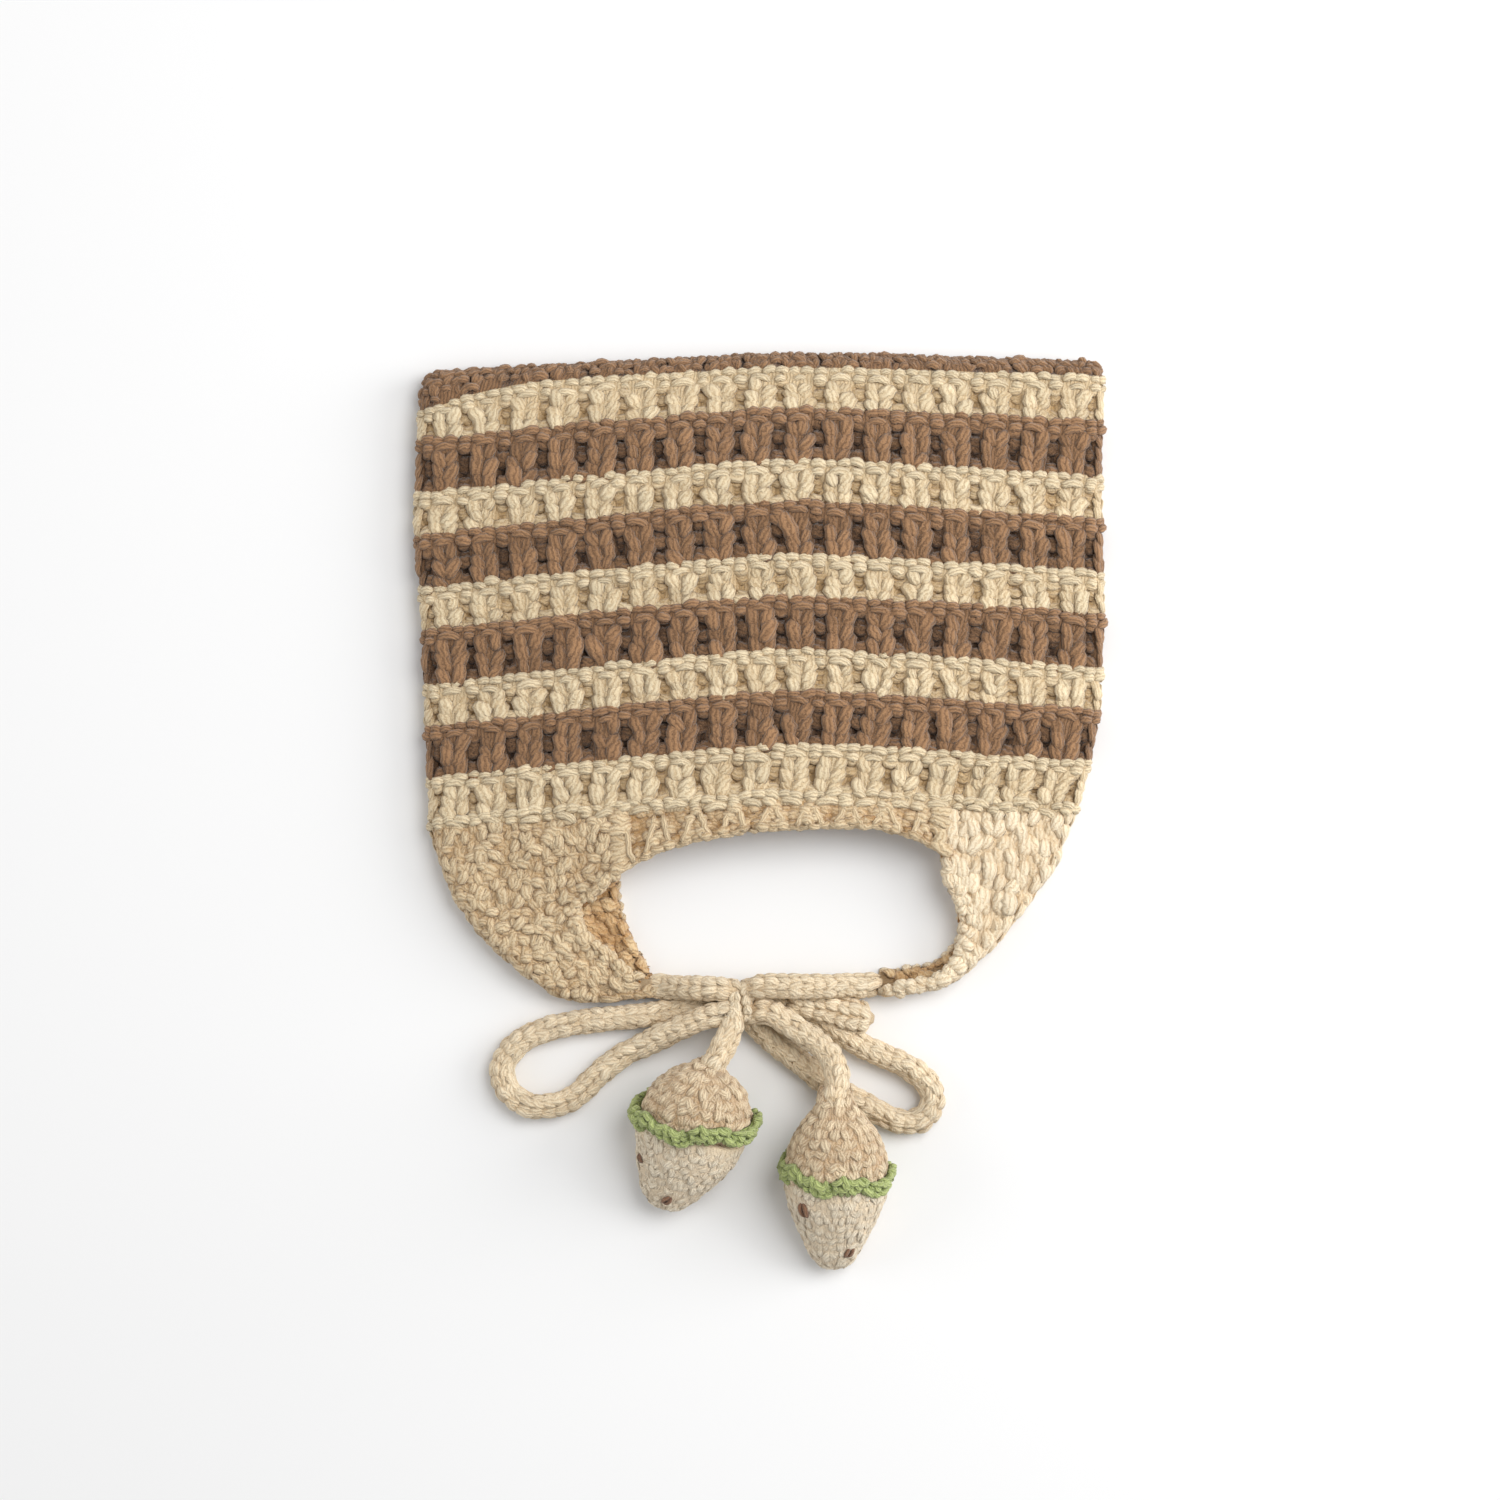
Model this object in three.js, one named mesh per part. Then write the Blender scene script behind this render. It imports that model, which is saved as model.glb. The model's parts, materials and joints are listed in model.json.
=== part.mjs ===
// Knitted cat ear beanie, lying on its back with its ties knotted in a bow.
// Millimetres. X runs across the hat, Y from its mouth towards its ears, Z up from the surface.
// The origin is the middle of the hat's footprint, without its cords.

import * as THREE from 'three';
import { LoftGeometry } from 'three/addons/geometries/LoftGeometry.js';
import { mergeVertices } from 'three/addons/utils/BufferGeometryUtils.js';

// Knitted fabric
const WALL = 4.8;                 // thickness of the chunky knit
const FOLD_HALF = 5.5;            // half the height of the two layers at a side fold
const FOLD_SLACK = 0.4;           // how much looser the fold is inside than the outer bend
const SEAT_GAP = 0.35;            // gap left between pieces that touch

// Crown
const MOUTH_Y = -39.1;            // the mouth at the ridge line's highest point
const RIDGE_PEAK_X = 12.6;        // where the stripes arch highest
const ARCH_ROUNDING = 0.15;       // how softly the stripes turn over at that place
const BAND_HEIGHT = 18.6;         // the cream stripe above the mouth
const BROWN_HEIGHT = 16.5;
const CREAM_HEIGHT = 12.9;
const STRIPE_PAIRS = 4;           // brown and cream stripes above the band
const TOP_STRIPE_HEIGHT = 4.8;    // what shows of the last brown stripe
const CROWN_HEIGHT = BAND_HEIGHT + STRIPE_PAIRS * (BROWN_HEIGHT + CREAM_HEIGHT) + TOP_STRIPE_HEIGHT;
const MOUTH_CREST = 20;           // height of the front panel over the surface, at the mouth
const BODY_CREST = 22.5;          // and at mid height
const CREST_FADE = 38;            // length over which the bag thins towards the top seam
const RIBS = 36;                  // knitted ribs right round the hat
const RIB_CREST = 0.7;
const RIB_GROOVE = -1.3;
const WELT_RELIEF = 1.3;          // the chain ridge along the top of each stripe
const WELT_HALF = 2.2;
const WELT_GROOVE_SHARE = 0.7;    // the ridge's relief between two ribs
const DOME_POINTS = 16;           // points across the domed front panel
const HOLLOW_ROWS = [0, 20, 50, 80, 105, 122];
const SEAM_BEND = [0, 40, 70];    // degrees round the rounded top edge

// Ear flaps and brim
const EDGE_ROUND = 1.3;
const FLAP_COLUMNS = [0, 0.2, 0.4, 0.6, 0.8, 1];
const FLAP_WALL_SHARE = 0.86;     // most of half the fold's height that the knit takes up
const FLAP_FOLD_SHARE = 0.45;     // most of a half's width that the bend takes up
const INNER_FOLD_SHARE = 0.87;    // where the inside of the bend lies along it
const BRIM_LEFT_X = -43.4;
const BRIM_RIGHT_X = 56.0;
const BRIM_SECTIONS = 14;
const BRIM_ROLL = 0.9;            // how much thicker the rolled edge is than the knit
const BACK_BRIM_SHORTER = 1.6;
const FLAP_FLAT_Y = -89.5;        // where the front half of a flap has sunk to the fold's height
const FLAP_RISE_LENGTH = 30;      // length over which a flap rises from its fold

// Knitted cord
const CORD_DIAMETER = 7.4;
const CORD_SIDES = 10;
const CORD_STEP = 6.5;

// Bow knot
const KNOT = { x: -5.95, y: -101.2, z: 8.2, length: 11.7, radius: 6.4, tall: 1.2 };

// Hanging strawberries
const BERRY_SEGMENTS = 18;
const RIM_SEGMENTS = 24;
const BERRY_TILT = 21;            // degrees that the dome leans up from the surface
const BERRY_FLATTEN = 0.8;        // height over width of the lightly stuffed body
const RIM_WAVES = 5;
const RIM_WAVE_HEIGHT = 1.1;

// The crown's outline, by distance up from the mouth.
const CROWN_OUTLINE = [
  { up: 0, left: -103.3, right: 98.6, leftDrop: 8.2, rightDrop: 3.8 },
  { up: 19, left: -104.0, right: 103.8, leftDrop: 10.6, rightDrop: 5.3 },
  { up: 35, left: -104.6, right: 106.4, leftDrop: 11.2, rightDrop: 6.0 },
  { up: 65, left: -105.8, right: 107.7, leftDrop: 10.3, rightDrop: 5.0 },
  { up: 95, left: -108.2, right: 107.1, leftDrop: 10.2, rightDrop: 5.0 },
  { up: 123, left: -107.1, right: 107.1, leftDrop: 9.6, rightDrop: 3.8 },
  { up: CROWN_HEIGHT, left: -106.2, right: 107.9, leftDrop: 5.8, rightDrop: 2.4 },
];

// Lower edge of the front brim.
const BRIM_EDGE = [
  { x: -43.4, y: -59.9 }, { x: -36.1, y: -56.3 }, { x: -31.4, y: -53.7 },
  { x: -22.0, y: -50.9 }, { x: -12.6, y: -49.1 }, { x: -3.1, y: -47.4 },
  { x: 15.7, y: -46.3 }, { x: 34.5, y: -45.9 }, { x: 48.7, y: -50.1 }, { x: 56.0, y: -53.9 },
];

// Ear flaps: sections from the mouth to the tip. fold is the outer edge, front and back are the
// inner edges of the two halves, and half is half the folded height there.
const LEFT_FLAP = [
  { foldX: -103.3, foldY: -47.5, frontX: -43.8, frontY: -41.5, backX: -43.8, backY: -41.5, half: 5.5 },
  { foldX: -101.4, foldY: -53.7, frontX: -43.8, frontY: -50.6, backX: -43.8, backY: -50.6, half: 5.5 },
  { foldX: -98.3, foldY: -63.2, frontX: -44.3, frontY: -60.3, backX: -44.1, backY: -59.7, half: 5.5 },
  { foldX: -95.1, foldY: -69.8, frontX: -51.5, frontY: -67.2, backX: -44.6, backY: -66.5, half: 5.5 },
  { foldX: -91.1, foldY: -75.7, frontX: -56.5, frontY: -72.0, backX: -43.6, backY: -71.6, half: 5.5 },
  { foldX: -84.8, foldY: -83.3, frontX: -54.0, frontY: -79.2, backX: -41.8, backY: -77.9, half: 5.4 },
  { foldX: -75.4, foldY: -91.4, frontX: -47.1, frontY: -85.1, backX: -38.9, backY: -84.3, half: 5.2 },
  { foldX: -65.3, foldY: -98.6, frontX: -39.6, frontY: -91.7, backX: -36.2, backY: -89.5, half: 4.8 },
  { foldX: -52.8, foldY: -101.5, frontX: -36.4, frontY: -93.1, backX: -35.0, backY: -91.7, half: 4.4 },
  { foldX: -34.2, foldY: -100.1, frontX: -34.0, frontY: -92.9, backX: -34.0, backY: -92.7, half: 4.0 },
];
const RIGHT_FLAP = [
  { foldX: 98.3, foldY: -43.3, frontX: 56.4, frontY: -39.7, backX: 56.4, backY: -39.7, half: 5.5 },
  { foldX: 96.1, foldY: -48.7, frontX: 56.4, frontY: -46.8, backX: 56.4, backY: -46.8, half: 5.5 },
  { foldX: 92.9, foldY: -57.5, frontX: 56.7, frontY: -54.7, backX: 56.7, backY: -54.3, half: 5.5 },
  { foldX: 87.9, foldY: -65.4, frontX: 58.7, frontY: -63.5, backX: 58.9, backY: -63.1, half: 5.5 },
  { foldX: 82.3, foldY: -73.2, frontX: 61.5, frontY: -71.0, backX: 61.7, backY: -70.7, half: 5.4 },
  { foldX: 75.4, foldY: -82.0, frontX: 62.5, frontY: -78.2, backX: 62.7, backY: -77.9, half: 5.3 },
  { foldX: 67.5, foldY: -89.8, frontX: 61.2, frontY: -84.9, backX: 60.6, backY: -84.1, half: 5.0 },
  { foldX: 59.0, foldY: -96.0, frontX: 56.4, frontY: -91.5, backX: 53.6, backY: -89.3, half: 4.7 },
  { foldX: 47.7, foldY: -98.6, frontX: 46.8, frontY: -94.7, backX: 45.4, backY: -90.9, half: 4.3 },
  { foldX: 37.1, foldY: -99.8, frontX: 36.8, frontY: -95.9, backX: 36.2, backY: -92.1, half: 4.0 },
];

// Routes of the knitted cords, by hand, along their middle line.
const LEFT_TIE = [
  [-33.2, -96.4, 4.0], [-30.8, -96.4, 4.4], [-25.1, -96.4, 8.6],
  [-18.8, -96.6, 11.8], [-14.6, -96.7, 12.5], [-12.3, -96.7, 12.6],
];
const RIGHT_TIE = [
  [35.9, -95.9, 4.0], [33.0, -95.9, 4.3], [25.1, -96.0, 7.6], [17.3, -96.0, 10.8],
  [9.4, -95.9, 12.6], [2.6, -95.8, 12.9], [0.5, -95.8, 12.9],
];
const LEFT_LOOP = [
  [-12.3, -100.9, 3.8], [-15.0, -101.1, 3.8], [-22.4, -102.5, 3.8], [-31.1, -104.5, 3.8],
  [-39.4, -105.7, 3.8], [-50.2, -106.7, 3.8], [-60.0, -108.1, 3.8], [-69.4, -110.7, 3.8],
  [-77.2, -115.3, 3.8], [-81.0, -122.2, 3.8], [-78.8, -129.1, 3.8], [-73.2, -133.2, 3.8],
  [-65.6, -133.8, 3.8], [-58.4, -131.3, 3.8], [-52.1, -125.3, 3.8], [-44.3, -118.9, 4.2],
  [-34.5, -113.5, 6.4], [-26.4, -109.7, 9.6], [-19.6, -106.5, 11.4], [-14.8, -105.0, 11.9],
  [-12.3, -104.7, 11.9],
];
const RIGHT_LOOP = [
  [0.5, -99.8, 3.8], [3.0, -100.0, 3.8], [9.4, -101.5, 3.8], [17.3, -105.1, 3.8],
  [25.4, -110.6, 3.8], [33.0, -115.3, 3.8], [38.9, -118.1, 3.8], [45.5, -121.1, 3.8],
  [51.2, -125.3, 3.8], [54.3, -130.7, 3.8],
  [52.6, -136.3, 3.8], [47.4, -138.9, 3.8], [41.0, -137.7, 3.8], [33.9, -133.9, 3.8],
  [27.0, -130.1, 3.8], [20.1, -126.1, 3.8], [13.8, -121.1, 3.8], [7.5, -115.9, 3.8],
  [2.4, -111.9, 3.8], [-0.4, -109.1, 3.8],
];
const LEFT_END = [
  [-7.4, -108.3, 9.0], [-8.0, -110.7, 9.6], [-10.4, -114.5, 13.2], [-13.3, -118.1, 17.6],
];
const RIGHT_END = [
  [0.9, -103.9, 10.9], [3.4, -104.7, 10.9], [8.4, -108.5, 11.2], [13.8, -112.7, 11.8],
  [19.2, -118.1, 13.4], [22.2, -124.1, 16.2], [23.2, -129.7, 19.4], [23.4, -133.2, 21.2],
];

// Strawberries: where the middle of the rim lies, how far each is turned in plan, and how much
// further its rim stands out.
const LEFT_BERRY = { x: -20.2, y: -138.1, turn: -13, scale: 1.0, rimFlare: 2.2 };
const RIGHT_BERRY = { x: 23.8, y: -154.7, turn: 1, scale: 1.02, rimFlare: 0 };
const DOME_PROFILE = [
  { radius: 17.0, along: 0.2 }, { radius: 16.9, along: 3.6 }, { radius: 14.8, along: 10.4 },
  { radius: 10.6, along: 15.6 }, { radius: 5.4, along: 18.8 }, { radius: 0, along: 19.4 },
];
const BODY_PROFILE = [
  { radius: 0, along: -31.0 }, { radius: 3.8, along: -30.2 }, { radius: 6.8, along: -27.0 },
  { radius: 10.2, along: -20.4 }, { radius: 13.8, along: -13.0 }, { radius: 16.2, along: -6.0 },
  { radius: 16.6, along: -0.2 },
];
const RIM_PROFILE = [
  { radius: 17.9, along: 2.6, flare: 0.4 }, { radius: 18.6, along: 2.0, flare: 1 },
  { radius: 18.6, along: -2.2, flare: 1 }, { radius: 17.6, along: -4.8, flare: 0.4 },
  { radius: 17.15, along: -3.4, flare: 0 }, { radius: 17.7, along: 0.2, flare: 0 },
];

const COLOURS = { stripes: 0xa88867, knit: 0xd6bf95, green: 0xa5ab68, berry: 0xd0bd9a };

const model = new THREE.Group();

function signedVolume(position, index) {
  const [a, b, c] = [new THREE.Vector3(), new THREE.Vector3(), new THREE.Vector3()];
  let total = 0;
  for (let i = 0; i < index.length; i += 3) {
    a.fromBufferAttribute(position, index[i]);
    b.fromBufferAttribute(position, index[i + 1]);
    c.fromBufferAttribute(position, index[i + 2]);
    total += a.dot(b.cross(c)) / 6;
  }
  return total;
}

// Welds a geometry, drops its collapsed triangles, faces it outwards and adds it by name.
function addPiece(parent, name, geometry, colour) {
  const bare = new THREE.BufferGeometry();
  bare.setAttribute('position', geometry.getAttribute('position'));
  bare.setIndex(geometry.getIndex());
  const merged = mergeVertices(bare, 1e-3);
  const index = merged.getIndex().array;
  const kept = [];
  for (let i = 0; i < index.length; i += 3) {
    const [a, b, c] = [index[i], index[i + 1], index[i + 2]];
    if (a !== b && b !== c && a !== c) kept.push(a, b, c);
  }
  if (signedVolume(merged.getAttribute('position'), kept) < 0) kept.reverse();
  merged.setIndex(kept);
  merged.computeVertexNormals();
  const material = new THREE.MeshStandardMaterial({ color: colour, roughness: 0.95, metalness: 0 });
  const mesh = new THREE.Mesh(merged, material);
  mesh.name = name;
  parent.add(mesh);
  return mesh;
}

function interpolate(table, key, value, column) {
  const last = table.length - 1;
  if (value <= table[0][key]) return table[0][column];
  if (value >= table[last][key]) return table[last][column];
  const i = table.findIndex((row) => row[key] >= value);
  const [low, high] = [table[i - 1], table[i]];
  return THREE.MathUtils.mapLinear(value, low[key], high[key], low[column], high[column]);
}

function crownOutline(up) {
  const column = (name) => interpolate(CROWN_OUTLINE, 'up', up, name);
  return {
    left: column('left'), right: column('right'),
    leftDrop: column('leftDrop'), rightDrop: column('rightDrop'),
  };
}

// Y of a knitted row at x: the rows arch up in the middle and fall off towards both folds.
function rowY(x, up) {
  const { left, right, leftDrop, rightDrop } = crownOutline(up);
  const onLeft = x < RIDGE_PEAK_X;
  const reach = (x - RIDGE_PEAK_X) / ((onLeft ? left : right) - RIDGE_PEAK_X);
  const soft = (t) => Math.hypot(t, ARCH_ROUNDING) - ARCH_ROUNDING;
  return MOUTH_Y + up - (onLeft ? leftDrop : rightDrop) * soft(reach) / soft(1);
}

function crestAt(up) {
  const body = THREE.MathUtils.lerp(MOUTH_CREST, BODY_CREST, THREE.MathUtils.smoothstep(up, 0, 50));
  const toSeam = THREE.MathUtils.clamp((CROWN_HEIGHT - FOLD_HALF - up) / CREST_FADE, 0, 1);
  return 2 * FOLD_HALF + (body - 2 * FOLD_HALF) * Math.sin(toSeam * Math.PI / 2);
}

// How far the front panel rises over its folds at x, from 0 at a fold to 1 midway.
function domeShare(x, left, right, edge) {
  const middle = (left + right) / 2;
  const half = (right - left) / 2 - edge;
  const reach = THREE.MathUtils.clamp(1 - Math.abs(x - middle) / half, 0, 1);
  return Math.sin(reach * Math.PI / 2);
}

// Closed outline of a panel pair across the hat: round folds, domed front, flat back.
function panelPath({ left, right, base, edge, crest }) {
  const path = new THREE.Path();
  const top = base + 2 * edge;
  const dome = [];
  for (let i = 1; i <= DOME_POINTS; i += 1) {
    const x = THREE.MathUtils.lerp(left + edge, right - edge, i / DOME_POINTS);
    dome.push(new THREE.Vector2(x, top + (crest - top) * domeShare(x, left, right, edge)));
  }
  path.moveTo(left, base + edge);
  path.absarc(left + edge, base + edge, edge, Math.PI, Math.PI / 2, true);
  path.splineThru(dome);
  path.absarc(right - edge, base + edge, edge, Math.PI / 2, -Math.PI / 2, true);
  path.lineTo(left + edge, base);
  path.absarc(left + edge, base + edge, edge, -Math.PI / 2, -Math.PI, true);
  path.arcLengthDivisions = 600;
  return path;
}

function crownSection(up, shape, relief) {
  const count = RIBS * 2;
  const points = panelPath(shape).getSpacedPoints(count).slice(0, count);
  return points.map((point, i) => {
    const ahead = points[(i + 1) % count];
    const behind = points[(i + count - 1) % count];
    const normal = new THREE.Vector2(behind.y - ahead.y, ahead.x - behind.x).normalize();
    const raised = i % 2 === 0 ? relief.crest : relief.groove;
    const offTheFloor = THREE.MathUtils.smoothstep(point.y, 0.5, FOLD_HALF);
    const moved = point.clone().addScaledVector(normal, raised * offTheFloor);
    return new THREE.Vector3(moved.x, rowY(moved.x, up), Math.max(0, moved.y));
  });
}

// Triangles that close one end of a loft, laid like the rungs of a ladder between the two chains
// of its section that run from one point to another.
function endFaces(section, from, to) {
  const count = section.length;
  const faces = [];
  let [a, b] = [from, from];
  while (a !== to || b !== to) {
    const [nextA, nextB] = [(a + count - 1) % count, (b + 1) % count];
    const spanA = a === to ? Infinity : section[nextA].distanceTo(section[b]);
    const spanB = b === to ? Infinity : section[a].distanceTo(section[nextB]);
    const face = spanA < spanB ? [a, nextA, b] : [a, nextB, b];
    if (new Set(face).size === 3) faces.push(face);
    if (spanA < spanB) a = nextA;
    else b = nextB;
  }
  return faces;
}

// Skins a row of closed sections, and closes its first end, its last end, or both.
function loftSolid(sections, { from, to, first = true, last = true }) {
  const geometry = new LoftGeometry(sections);
  const index = Array.from(geometry.getIndex().array);
  const perSection = sections[0].length + 1;
  const lastStart = (sections.length - 1) * perSection;
  if (first) endFaces(sections[0], from, to).forEach((face) => index.push(...face));
  if (last) {
    endFaces(sections[sections.length - 1], from, to).forEach(([a, b, c]) => {
      index.push(lastStart + a, lastStart + c, lastStart + b);
    });
  }
  geometry.setIndex(index);
  return geometry;
}

const SMOOTH = { crest: 0, groove: 0 };
const RIBBED = { crest: RIB_CREST, groove: RIB_GROOVE };
const WELT = { crest: WELT_RELIEF, groove: WELT_RELIEF * WELT_GROOVE_SHARE };

// Rows of the outer surface, from the mouth up: a ribbed row and a welt for each stripe.
function crownRows() {
  const rows = [{ up: 0, relief: SMOOTH }, { up: WELT_HALF, relief: WELT }];
  let start = WELT_HALF * 2;
  let stripeEnd = BAND_HEIGHT;
  const stripes = [{ height: BAND_HEIGHT }];
  for (let pair = 0; pair < STRIPE_PAIRS; pair += 1) {
    stripes.push({ height: BROWN_HEIGHT }, { height: CREAM_HEIGHT });
  }
  stripes.forEach((stripe, i) => {
    if (i > 0) stripeEnd += stripe.height;
    const welt = stripeEnd - WELT_HALF;
    rows.push({ up: (start + welt - WELT_HALF) / 2, relief: RIBBED });
    rows.push({ up: welt, relief: WELT });
    start = stripeEnd;
  });
  return rows;
}

function crownOuter() {
  const sections = crownRows().map(({ up, relief }) => {
    const { left, right } = crownOutline(up);
    return crownSection(up, { left, right, base: 0, edge: FOLD_HALF, crest: crestAt(up) }, relief);
  });
  for (const turn of SEAM_BEND) {
    const angle = THREE.MathUtils.degToRad(turn);
    const up = CROWN_HEIGHT - FOLD_HALF * (1 - Math.sin(angle));
    const edge = FOLD_HALF * Math.cos(angle);
    const inset = FOLD_HALF - edge;
    const { left, right } = crownOutline(up);
    const crest = inset + 2 * edge;
    const shape = { left: left + inset, right: right - inset, base: inset, edge, crest };
    sections.push(crownSection(up, shape, turn === 0 ? RIBBED : SMOOTH));
  }
  return sections;
}

// The hollow for the head, from the mouth to the seam inside, where both panels meet.
function crownInner() {
  const inset = FOLD_HALF + FOLD_SLACK;
  const edge = FOLD_HALF - WALL;
  const sections = HOLLOW_ROWS.map((up) => {
    const { left, right } = crownOutline(up);
    const crest = crestAt(up) - WALL;
    const shape = { left: left + inset, right: right - inset, base: WALL, edge, crest };
    return crownSection(up, shape, SMOOTH);
  });
  const seamUp = CROWN_HEIGHT - 2 * WALL + 1;
  const { left, right } = crownOutline(seamUp);
  const seam = [];
  for (let i = 0; i < RIBS * 2; i += 1) {
    const along = i <= RIBS ? i / RIBS : 2 - i / RIBS;
    const x = THREE.MathUtils.lerp(left + 2 * FOLD_HALF, right - 2 * FOLD_HALF, along);
    seam.push(new THREE.Vector3(x, rowY(x, seamUp), FOLD_HALF));
  }
  sections.push(seam);
  return sections;
}

function buildCrown() {
  const sections = [...crownOuter().reverse(), ...crownInner()];
  addPiece(model, 'crown', loftSolid(sections, { from: 0, to: RIBS, last: false }), COLOURS.stripes);
}

// Height of the front panel below the mouth, sinking from the mouth to the flap tips.
function frontHeight(x, y, half) {
  const { left, right } = crownOutline(0);
  const rise = (MOUTH_CREST - 2 * FOLD_HALF) * domeShare(x, left, right, FOLD_HALF);
  const sunk = THREE.MathUtils.smoothstep(y, FLAP_FLAT_Y, MOUTH_Y);
  return 2 * half + rise * sunk;
}

// One cross-section of a flap folded in two: a U lying on its side, open towards the face.
function flapSection(row, share) {
  const wall = Math.min(WALL, row.half * FLAP_WALL_SHARE);
  const fold = new THREE.Vector2(row.foldX, row.foldY);
  const front = { edge: new THREE.Vector2(row.frontX, row.frontY) };
  const back = { edge: new THREE.Vector2(row.backX, row.backY) };
  front.width = fold.distanceTo(front.edge);
  back.width = fold.distanceTo(back.edge);
  const nearFold = Math.min(row.half, front.width * FLAP_FOLD_SHARE);
  const frontStop = (k) => THREE.MathUtils.lerp(nearFold, front.width - EDGE_ROUND, k);
  const planPlace = (layer, along) => fold.clone().lerp(layer.edge, along / layer.width);

  const lift = (along) => {
    const place = planPlace(front, along);
    const eased = THREE.MathUtils.smoothstep(along, 0, FLAP_RISE_LENGTH);
    const rise = frontHeight(place.x, place.y, row.half) - 2 * row.half;
    return rise * THREE.MathUtils.lerp(1, eased, Math.min(1, share * 3));
  };
  const points = [];
  const put = (layer, along, z) => {
    const place = planPlace(layer, along);
    const y = share === 0 ? rowY(place.x, 0) - SEAT_GAP : place.y;
    points.push(new THREE.Vector3(place.x, y, z));
  };
  const putTop = (along, drop) => put(front, along, 2 * row.half + lift(along) - drop);

  put(back, nearFold, 0);
  for (const turn of [-45, 0, 45]) {
    const angle = THREE.MathUtils.degToRad(turn);
    put(front, nearFold * (1 - Math.cos(angle)), row.half * (1 + Math.sin(angle)));
  }
  FLAP_COLUMNS.forEach((k) => putTop(frontStop(k), 0));
  putTop(front.width, wall / 2);
  FLAP_COLUMNS.slice(1).reverse().forEach((k) => putTop(frontStop(k), wall));
  put(back, nearFold * INNER_FOLD_SHARE, row.half);
  put(back, THREE.MathUtils.lerp(nearFold, back.width - EDGE_ROUND, 0.3), wall);
  put(back, back.width - EDGE_ROUND, wall);
  put(back, back.width, wall / 2);
  put(back, back.width - EDGE_ROUND, 0);
  return points;
}

// Places in flapSection's list of the front half's edge and the back half's edge.
const FLAP_EDGES = { from: 10, to: 19 };

function buildFlap(name, rows) {
  const sections = rows.map((row, i) => flapSection(row, i / (rows.length - 1)));
  addPiece(model, name, loftSolid(sections, FLAP_EDGES), COLOURS.knit);
}

function buildBrim(name, sectionAt, edgeIndex) {
  const sections = [];
  for (let i = 0; i <= BRIM_SECTIONS; i += 1) {
    const x = THREE.MathUtils.lerp(BRIM_LEFT_X, BRIM_RIGHT_X, i / BRIM_SECTIONS);
    const top = rowY(x, 0) - SEAT_GAP;
    const bottom = interpolate(BRIM_EDGE, 'x', x, 'y');
    sections.push(sectionAt(x, top, bottom).map(([y, z]) => new THREE.Vector3(x, y, z)));
  }
  addPiece(model, name, loftSolid(sections, { from: edgeIndex, to: 0 }), COLOURS.knit);
}

function frontBrimSection(x, top, bottom) {
  const height = (y) => frontHeight(x, y, FOLD_HALF);
  const middle = (top + bottom) / 2;
  const roll = bottom + EDGE_ROUND;
  return [
    [top, height(top)], [middle, height(middle)], [roll, height(roll) + BRIM_ROLL],
    [bottom, height(bottom) - WALL / 2],
    [roll, height(roll) - WALL], [middle, height(middle) - WALL], [top, height(top) - WALL],
  ];
}

function backBrimSection(x, top, bottom) {
  const edge = bottom + BACK_BRIM_SHORTER;
  return [
    [top, WALL], [edge + EDGE_ROUND, WALL], [edge, WALL / 2], [edge + EDGE_ROUND, 0], [top, 0],
  ];
}

function buildCord(name, route) {
  const curve = new THREE.CatmullRomCurve3(route.map((point) => new THREE.Vector3(...point)));
  const section = new THREE.Shape();
  for (let i = 0; i < CORD_SIDES; i += 1) {
    const angle = (i / CORD_SIDES) * Math.PI * 2;
    const [x, y] = [Math.cos(angle), Math.sin(angle)].map((part) => part * CORD_DIAMETER / 2);
    if (i === 0) section.moveTo(x, y);
    else section.lineTo(x, y);
  }
  section.closePath();
  const steps = Math.ceil(curve.getLength() / CORD_STEP);
  const geometry = new THREE.ExtrudeGeometry(section, { steps, bevelEnabled: false, extrudePath: curve });
  addPiece(model, name, geometry, COLOURS.knit);
}

function buildKnot() {
  const { length, radius, tall } = KNOT;
  const profile = [
    [0, -length / 2], [radius * 0.8, -length / 2], [radius, -length / 4],
    [radius, length / 4], [radius * 0.8, length / 2], [0, length / 2],
  ].map(([x, y]) => new THREE.Vector2(x, y));
  const holder = new THREE.Group();
  holder.rotation.z = Math.PI / 2;
  holder.scale.z = tall;
  holder.position.set(KNOT.x, KNOT.y, KNOT.z);
  model.add(holder);
  addPiece(holder, 'bow_knot', new THREE.LatheGeometry(profile, 14), COLOURS.knit);
}

function profilePoints(table, rimFlare = 0) {
  return table.map(({ radius, along, flare = 0 }) => new THREE.Vector2(radius + flare * rimFlare, along));
}

// Green rim: a closed ring whose edge waves up and down as it goes round.
function rimGeometry(rimFlare) {
  const profile = profilePoints(RIM_PROFILE, rimFlare);
  const geometry = new THREE.LatheGeometry([...profile, profile[0].clone()], RIM_SEGMENTS);
  const position = geometry.getAttribute('position');
  for (let i = 0; i < position.count; i += 1) {
    const angle = Math.atan2(position.getX(i), position.getZ(i));
    position.setY(i, position.getY(i) + RIM_WAVE_HEIGHT * Math.sin(angle * RIM_WAVES));
  }
  return geometry;
}

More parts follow.
